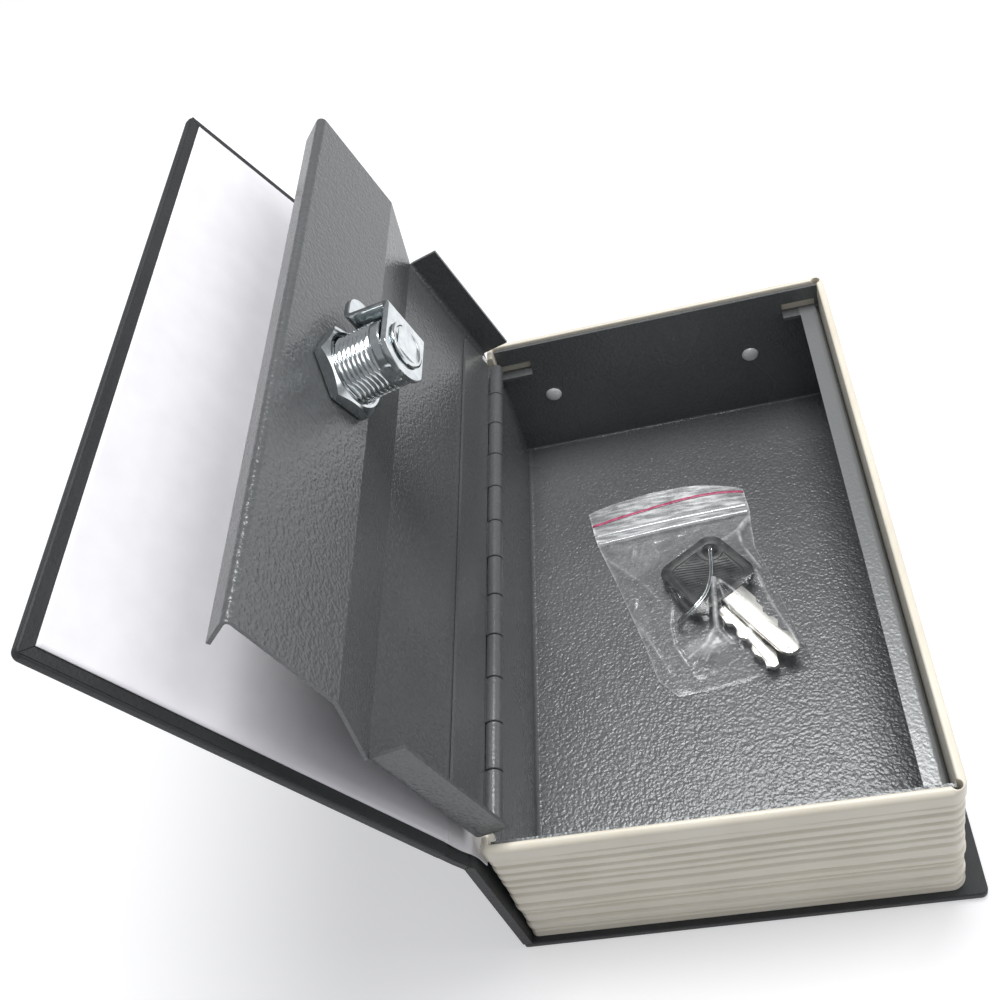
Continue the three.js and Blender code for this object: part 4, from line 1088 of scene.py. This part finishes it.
tray_floor = 3.4
film_floor = tray_floor + 0.12
seam_level = film_floor + 0.32
film_top = 12.5
zip_from, zip_to = 0.10, 0.175
mouth_gape = 2.4
film_edges = np.array([
    # share of the length, left edge x and y, right edge x and y
    (0.00, -32.3, 48.2, 17.4, 47.6),
    (0.13, -30.6, 37.6, 18.1, 40.3),
    (0.17, -30.0, 34.6, 18.3, 37.9),
    (0.20, -29.4, 32.6, 18.0, 35.0),
    (0.36, -25.4, 19.8, 17.9, 24.0),
    (0.50, -22.9, 10.9, 20.4, 15.5),
    (0.72, -17.8, -7.7, 23.2, 1.5),
    (0.88, -15.3, -18.5, 25.8, -12.5),
    (1.00, -10.2, -24.4, 28.3, -21.5),
])
film_rows, film_columns = 180, 130
down_film = np.linspace(0, 1, film_rows)
across_film = np.linspace(0, 1, film_columns)
grid_down, grid_across = np.meshgrid(down_film, across_film, indexing="ij")
left_x, left_y, right_x, right_y = (np.interp(grid_down, film_edges[:, 0], edge)
                                    for edge in film_edges[:, 1:].T)
mouth_bow = held(1 - grid_down / 0.06) * np.sin(math.pi * grid_across) ** 0.8 * (0.6 + 0.8 * grid_across)
x_of = left_x + (right_x - left_x) * grid_across
y_of = left_y + (right_y - left_y) * grid_across + mouth_gape * mouth_bow


def covered(place, low_x, high_x, low_y, high_y):
    """Which film points lie over a rectangle in a key's own frame."""
    flat = place.inverted()
    own_x, own_y = (flat[k][0] * x_of * mm + flat[k][1] * y_of * mm + flat[k][3] for k in (0, 1))
    return (own_x > low_x) & (own_x < high_x) & (own_y > low_y) & (own_y < high_y)


# What the film rests on: the tray's floor, both keys and the upper half of their ring
support = np.full(x_of.shape, film_floor + 0.25)
for place, level in ((key_places[1], 7.95), (key_places[0], 10.45)):
    for top, over in (
        (level, covered(place, head_low + 0.6, head_high - 0.4, -head_high + 0.6, -head_low - 0.6)),
        (level - 0.2, covered(place, head_high - 0.5, head_high + 27.2,
                              blade_middle - 3.4, blade_middle + 3.4)),
    ):
        support[over] = np.maximum(support[over], top)
for p in wire_line:
    if p.z > 6:
        near = (x_of - p.x) ** 2 + (y_of - p.y) ** 2 < 0.9 ** 2
        support[near] = np.maximum(support[near], p.z + 0.45)

# Taut over it: a membrane, stiff enough to stand off a little, seamed at its edges
stand_off = 0.0006
arch = np.sin(math.pi * across_film)
zip_row = (down_film > zip_from) & (down_film < zip_to)
mouth_row = down_film <= zip_from
zip_level = film_floor + 1.0 + 0.5 * arch
mouth_level = zip_level + ((zip_from - down_film[mouth_row]) / zip_from)[:, None] * mouth_gape * arch ** 0.7
height = np.maximum(support, film_floor + 0.5)
for sweep in range(2600):
    beside = height[:-2, 1:-1] + height[2:, 1:-1] + height[1:-1, :-2] + height[1:-1, 2:]
    height[1:-1, 1:-1] = beside / 4 + stand_off
    height = np.maximum(height, support)
    height[:, 0] = height[:, -1] = height[-1, :] = seam_level
    height[zip_row] = zip_level
    height[mouth_row] = mouth_level


def fold_height(line, width, high):
    """A straight-sided fold along a line of points over the film."""
    nearest = np.full(x_of.shape, 1e9)
    for a, b in zip(line, line[1:]):
        run = Vector(b) - Vector(a)
        share = held(((x_of - a[0]) * run.x + (y_of - a[1]) * run.y) / run.length_squared)
        nearest = np.minimum(nearest, np.hypot(x_of - a[0] - share * run.x, y_of - a[1] - share * run.y))
    rise = held(1 - nearest / width)
    return high * rise * rise * (3 - 2 * rise)


folds = (
    # line over the film, half width, height
    ([(4.6, 8.6), (3.9, 0.4), (3.3, -7.6)], 1.7, 1.2),
    ([(3.2, -7.0), (-0.4, -11.5), (-5.9, -14.2)], 1.5, 0.9),
    ([(3.2, -7.0), (4.9, -10.2), (6.4, -12.8)], 1.3, 0.8),
    ([(6.4, -12.4), (1.2, -13.2), (-1.4, -16.4)], 1.1, 0.8),
    ([(5.8, 7.2), (6.8, 1.6), (8.0, -3.0)], 1.4, 0.8),
    ([(6.2, 7.9), (9.3, 4.4), (12.0, 0.4)], 1.3, 0.8),
    ([(18.0, 36.0), (14.2, 30.0), (9.2, 23.6)], 1.5, 1.2),
    ([(13.8, 29.6), (14.4, 22.4), (18.4, 13.2)], 1.4, 0.9),
    ([(17.3, 9.7), (19.4, 0.6), (22.9, -11.8), (24.6, -17.7)], 1.5, 0.9),
    ([(-22.6, 9.8), (-19.3, 10.1), (-20.6, 5.7)], 0.8, 0.7),
    ([(-28.5, 29.9), (-20.3, 19.3), (-16.1, 13.3), (-13.5, 8.2)], 1.2, 0.6),
    ([(-21.6, 5.9), (-15.3, -8.5), (-11.6, -17.5)], 1.2, 0.7),
    ([(-8.8, 3.4), (-10.0, -3.7), (-9.4, -9.6), (-6.2, -16.4)], 1.2, 0.7),
    ([(-27.0, 31.0), (-8.0, 30.4), (8.0, 33.0)], 1.0, 0.5),
    ([(-13.0, 31.0), (-11.0, 24.0), (-13.5, 17.5)], 0.9, 0.5),
    ([(-18.0, 32.0), (-19.5, 25.0), (-17.5, 21.0)], 0.8, 0.5),
    ([(2.0, 33.6), (0.5, 29.5), (-4.0, 26.0)], 0.9, 0.5),
)
lifted = np.maximum.reduce([fold_height(*fold) for fold in folds])
crumple = np.zeros_like(height)
noise.seed_set(5)
for spot in np.ndindex(crumple.shape):
    p = Vector((x_of[spot], y_of[spot], 1.7))
    bent = p + 1.4 * noise.noise_vector(p / 6)
    big, small = noise.voronoi(bent / 7.5)[0], noise.voronoi((bent + Vector((3.1, 7.7, 0))) / 3.1)[0]
    crumple[spot] = big[0] + 0.25 * small[0]
edge_fade = held(np.minimum.reduce([grid_across, 1 - grid_across, 1 - grid_down]) / 0.05)
loose = np.where(height > 10.2, 0.35, 1.0)
loose[zip_row] = 0.1
loose[mouth_row] = 0.45
top_film = np.clip(height + edge_fade * (lifted + loose * (crumple - 0.35)), film_floor + 0.1, film_top)
bottom_film = film_floor + (top_film - film_floor) * (1 - edge_fade) * 0.6

# How milky it is: at the zip and below it, in three listed patches, and along creases and seams
creased = held(lifted / 0.9) ** 2.6
seam = np.minimum.reduce([grid_across / 0.016, (1 - grid_across) / 0.016, 0.4 + (1 - grid_down) / 0.008])
cloudy = 0.7 * held(1 - (grid_down - zip_to) / 0.015) + 0.6 * held(1 - np.abs(grid_down - 0.14) / 0.035)
cloudy = np.maximum(cloudy, 0.35 * held(1 - (grid_down - 0.19) / 0.22))
for x, y, reach_x, reach_y, strength in ((0.6, -11.6, 6.5, 2.8, 0.75), (-17.0, 25.0, 8.0, 7.0, 0.35),
                                         (-18.5, -3.0, 3.0, 12.0, 0.25)):
    away = ((x_of - x) / reach_x) ** 2 + ((y_of - y) / reach_y) ** 2
    cloudy = np.maximum(cloudy, strength * held(1.4 - away))
by_mouth = held(1 - (grid_down - zip_to) / 0.03)

points = np.concatenate([np.stack([x_of, y_of, film], -1).reshape(-1, 3)
                         for film in (top_film, bottom_film)])
faces = []
for i in (r * film_columns + c for r in range(film_rows - 1) for c in range(film_columns - 1)):
    under = i + film_rows * film_columns
    faces.append((i, i + film_columns, i + film_columns + 1, i + 1))
    faces.append((under, under + 1, under + film_columns + 1, under + film_columns))
mesh = mesh_of("resealable_bag", (points * mm).tolist(), faces)
point_values(mesh, cloudy=np.concatenate([cloudy + 0.9 * (creased + held(1 - seam)), 0.2 * cloudy]).ravel(),
             by_mouth=np.concatenate([by_mouth, by_mouth]).ravel())
shape = bmesh.new()
shape.from_mesh(mesh)
bmesh.ops.remove_doubles(shape, verts=shape.verts, dist=0.02 * mm)
mesh_from(shape, mesh, 60)

# Polythene film: clear and glossy, milky where it is creased, and streaked along the zip
bag_film, tree, spot = new_finish("clear_polythene_film")
milk, mouth = (node(tree, "Attribute", attribute_name=name).outputs["Fac"] for name in ("cloudy", "by_mouth"))
streak = node(tree, "TexNoise", {"Vector": spot, "Scale": 1 / (3.5 * mm), "Detail": 4.0, "Roughness": 0.6})
along_zip = node(tree, "Mapping", {"Vector": spot, "Rotation": (0, 0, math.radians(-4)),
                                   "Scale": (1 / (7 * mm), 1 / (0.9 * mm), 1 / (7 * mm))})
fine = node(tree, "TexNoise", {"Vector": along_zip, "Scale": 1.0, "Detail": 3.0})
striped, patchy, uneven = (
    node(tree, "MapRange", {"Value": of, "From Min": low, "From Max": high, "To Min": least, "To Max": most})
    for of, low, high, least, most in ((fine, 0.42, 0.62, 0.3, 1.0), (streak, 0.38, 0.62, 0.35, 1.0),
                                       (streak, 0.35, 0.7, 0.01, 0.09))
)
stripes = node(tree, "MapRange", {"Value": mouth, "To Min": patchy, "To Max": striped})
rim = node(tree, "Math", {0: node(tree, "LayerWeight", {"Blend": 0.35}).outputs["Facing"], 1: 0.18},
           operation="MULTIPLY")
shown = milk
for operation, value in (("MULTIPLY", stripes), ("MULTIPLY", 0.55), ("ADD", uneven), ("ADD", rim)):
    shown = node(tree, "Math", {0: shown, 1: value}, operation=operation)
rumpled = fine
for operation, value in (("MULTIPLY", mouth), ("ADD", streak)):
    rumpled = node(tree, "Math", {0: rumpled, 1: value}, operation=operation)
end_finish(tree, {
    "Base Color": linear("#f4f6f7"),
    "Metallic": node(tree, "MapRange", {"Value": milk, "To Min": 0.5, "To Max": 0.1}),
    "Roughness": node(tree, "MapRange", {"Value": milk, "To Min": 0.16, "To Max": 0.5}),
    "Alpha": shown,
    "Normal": node(tree, "Bump", {"Height": rumpled, "Strength": 0.4, "Distance": 0.3 * mm}),
})
stands_for(placed("resealable_bag", mesh, bag_film), "key_bag")

# Zip: two rails of thicker polythene across the bag, and a printed red line by its mouth.
# Thick polythene: clear to milky in streaks, glossy.
thick_polythene, tree, spot = new_finish("thick_milky_polythene")
streak = node(tree, "TexNoise", {"Vector": spot, "Scale": 1 / (2.5 * mm), "Detail": 3.0})
end_finish(tree, {
    "Base Color": linear("#eceef0"),
    "Metallic": 0.3,
    "Roughness": 0.2,
    "Alpha": node(tree, "MapRange", {"Value": streak, "To Min": 0.35, "To Max": 0.75}),
})

# Printed ink: red to pink where it is worn, glossy
red_ink, tree, spot = new_finish("red_printed_ink")
worn = node(tree, "TexNoise", {"Vector": spot, "Scale": 1 / (1.5 * mm), "Detail": 3.0})
end_finish(tree, {
    "Base Color": node(tree, "ValToRGB", {"Fac": worn}, ((0.35, "#b23a62"), (0.7, "#d0688a"))),
    "Roughness": 0.3,
})


def along_film(name, start, end, width, high, finish, steps=70):
    """A low rounded strip that lies on the top film, between two shares of the bag's length."""
    rings = []
    for s in np.linspace(0.004, 0.996, steps):
        r, c = (start + (end - start) * s) * (film_rows - 1), s * (film_columns - 1)
        r0, c0 = int(r), int(c)
        r1, c1 = r0 + 1, min(c0 + 1, film_columns - 1)
        x, y = (grid[r0, c0] * (1 - (r - r0) - (c - c0)) + grid[r1, c0] * (r - r0) + grid[r0, c1] * (c - c0)
                for grid in (x_of, y_of))
        level = max(top_film[r0, c0], top_film[r1, c0], top_film[r0, c1]) + 0.03
        rings.append([Vector((x, y + width / 2 * math.cos(a), level + high / 2 * math.sin(a))) * mm
                      for a in full_turn(10)])
    strip = placed(name, mesh_from(skinned(rings), mesh_of(name)), finish)
    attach(strip, "keys")


along_film("zip_rail_upper", 0.118, 0.118, 1.5, 0.7, thick_polythene)
along_film("zip_rail_lower", 0.162, 0.162, 1.1, 0.6, thick_polythene)
along_film("red_zip_line", 0.066, 0.026, 0.95, 0.16, red_ink)
